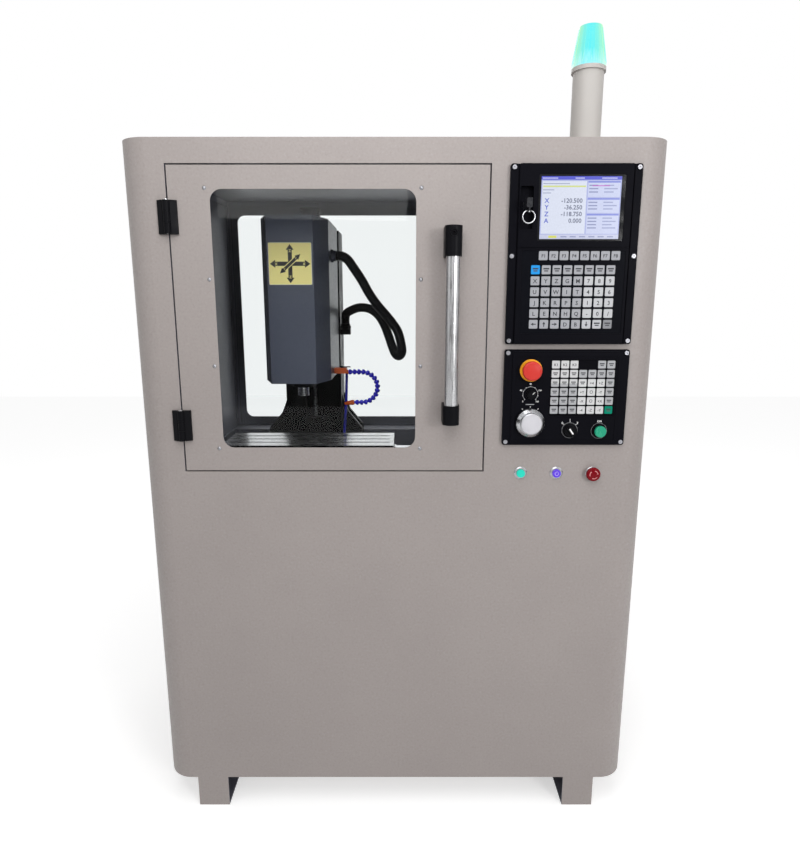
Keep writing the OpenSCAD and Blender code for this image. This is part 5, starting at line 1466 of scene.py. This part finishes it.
    def power_mark(self) -> bpy.types.Object:
        """Pale mark of an open ring with a stroke in its gap, on the lit violet button.

        Returns:
            The piece.
        """
        sheet = InkSheet("power_mark")
        low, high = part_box("violet_button")
        middle = np.array([low.x + high.x, low.z + high.z]) * 500
        sheet.ring(middle, 3.9, 0.9, "#CDBDFB", span=(125.0, 415.0))
        sheet.line(middle + [0, 1.4], middle + [0, 5.4], 0.9, "#CDBDFB")
        return sheet.lay("violet_push", INK, on_front(low.y * 1000 - FRONT_Y - 0.05))

    def release_marks(self) -> bpy.types.Object:
        """Three pale arc arrows that show which way the mushroom button turns to spring back.

        The button's top is a shallow dome, so a mark at radius r is let down by 2 (r / 15)^2 mm, and lies
        0.08 mm clear of it.

        Returns:
            The piece.
        """
        dome_r, dome_fall, clear = 15, 2, 0.08
        sheet = InkSheet("release_arrows")
        low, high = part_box("red_button")
        middle = np.array([low.x + high.x, low.z + high.z]) * 500
        for start in (20.0, 140.0, 260.0):
            sheet.ring(np.zeros(2), 8.6, 1.4, "#D98E8E", span=(start, start + 60.0))
            head = [reach * heading(start + turn) for reach, turn in ((6.8, 2), (8.6, -16), (10.4, 2))]
            sheet.mark(np.array(head), [[0, 1, 2]], "#D98E8E")

        def on_dome(flat: np.ndarray) -> np.ndarray:
            """Wrap the marks on the dome.

            Args:
                flat: places (across, up, out) in millimetres, from the button's middle.

            Returns:
                Places (x, b, z) in millimetres.
            """
            sunk = dome_fall * (np.hypot(flat[:, 0], flat[:, 1]) / dome_r) ** 2
            out = low.y * 1000 - FRONT_Y - clear + sunk - flat[:, 2]
            return np.column_stack([middle[0] + flat[:, 0], out, middle[1] + flat[:, 1]])

        return sheet.lay("red_push", INK, on_dome)


@dataclass
class SignalLamp(Assembly):
    """Signal lamp on the roof."""

    finishes: dict[str, Finish] = field(default_factory=lambda: {
        "lamp_stem": LAMP_STEM, "lamp_lens": LAMP_LENS,
    })


@dataclass
class Mill(Assembly):
    """The milling machine inside: base, column, cross slides, table and head."""

    finishes: dict[str, Finish] = field(default_factory=lambda: {
        "mill_base": CASTING, "column": COLUMN_PAINT, "axis_motors": MOTOR, "z_ballscrew": GROUND,
        "y_ballscrew": GROUND, "saddle": CASTING, "table": TABLE_IRON, "table_brackets": TABLE_IRON,
        "x_ballscrew": GROUND, "x_motor": ALUMINIUM, "head_casting": CASTING, "head_cover": HEAD_PAINT,
        "spindle": GROUND, "spindle_motor": MOTOR, "coolant_block": ORANGE, "coolant_lever": BLACK_PLASTIC,
        "coolant_hose": BLUE_HOSE, "coolant_nozzle": ORANGE,
    })
    sign_at: tuple[float, float] = (-256.0, 1286.0)
    sign_size: tuple[float, float] = (105.0, 100.0)
    cover_b: float = 260.0

    def pieces(self) -> list[bpy.types.Object]:
        """The axis sign on the head's cover."""
        return [self.sign_plate(), self.sign_marks()]

    def sign_plate(self) -> bpy.types.Object:
        """Thin plate with rounded corners: a rounded square's outline, stepped in by a small bevel.

        The outline is a superellipse: each half side times the sign and the 0.05 power of the cosine
        and sine of an even run of angles. Each ring is the outline's share and its height off the cover.

        Returns:
            The piece.
        """
        sides = 96
        turn = np.linspace(0, 2 * math.pi, sides, endpoint=False)
        half = np.array(self.sign_size) / 2
        corner = np.column_stack([np.cos(turn), np.sin(turn)])
        outline = np.sign(corner) * np.abs(corner) ** 0.05 * half
        rings = [(1.0, 0.0), (1.0, 0.6), (0.994, 0.8)]
        skin = [np.column_stack([outline * k, np.full(sides, up)]) for k, up in rings]
        flat = np.vstack([*skin, [0.0, 0.0, 0.0], [0.0, 0.0, 0.8]])
        places = np.column_stack([flat[:, 0] + self.sign_at[0], self.cover_b - flat[:, 2],
                                  flat[:, 1] + self.sign_at[1]])
        return mesh_piece("axis_sign_plate", place_all(places), closed_faces(len(rings), sides), "head",
                          SIGN_WHITE, smooth=False)

    def sign_marks(self) -> bpy.types.Object:
        """Yellow field and three crossed double arrows, one for each axis, with the axes' letters.

        Returns:
            The piece.
        """
        sheet = InkSheet("axis_sign_marks")
        x, z = self.sign_at
        width, height = self.sign_size
        field_yellow, black = "#FFF29C", "#100E0C"
        sheet.box(x - width / 2 + 1, z - height / 2 + 1, width - 2, height - 2, field_yellow)
        middle = np.array([x, z])
        for turn, reach, wide, letter, layer in ((90, 46, 10.0, "Z", 1), (0, 49, 10.0, "X", 1),
                                                 (42, 36, 10.4, "", 3), (42, 34, 7.0, "Y", 4)):
            way = heading(turn)
            side = np.array([-way[1], way[0]])
            ink = black if letter else field_yellow
            for end in (-1, 1):
                tip = middle + end * reach * way
                neck = tip - end * 13 * way
                head = [neck - end * wide * 0.95 * side, tip, neck + end * wide * 0.95 * side]
                sheet.mark(np.array(head), [[0, 1, 2]], ink, layer)
                sheet.line(middle, neck, wide, ink, layer)
                if letter:
                    sheet.words(letter, middle + end * (reach - 15) * way, wide * 0.62, field_yellow,
                                layer + 1)
        return sheet.lay("head", SIGN_INK, on_front(self.cover_b - 0.83))


def main() -> None:
    """Set the view, then build each sub-assembly in order and report its pieces."""
    Studio().build()
    for assembly in (Conduit(), SupplyTube(), Cabinet(), Door(), Controls(), SignalLamp(), Mill()):
        made = assembly.build()
        log.info("%s: %s", type(assembly).__name__, ", ".join(piece.name for piece in made) or "dressed")


if __name__ == "__main__":
    main()
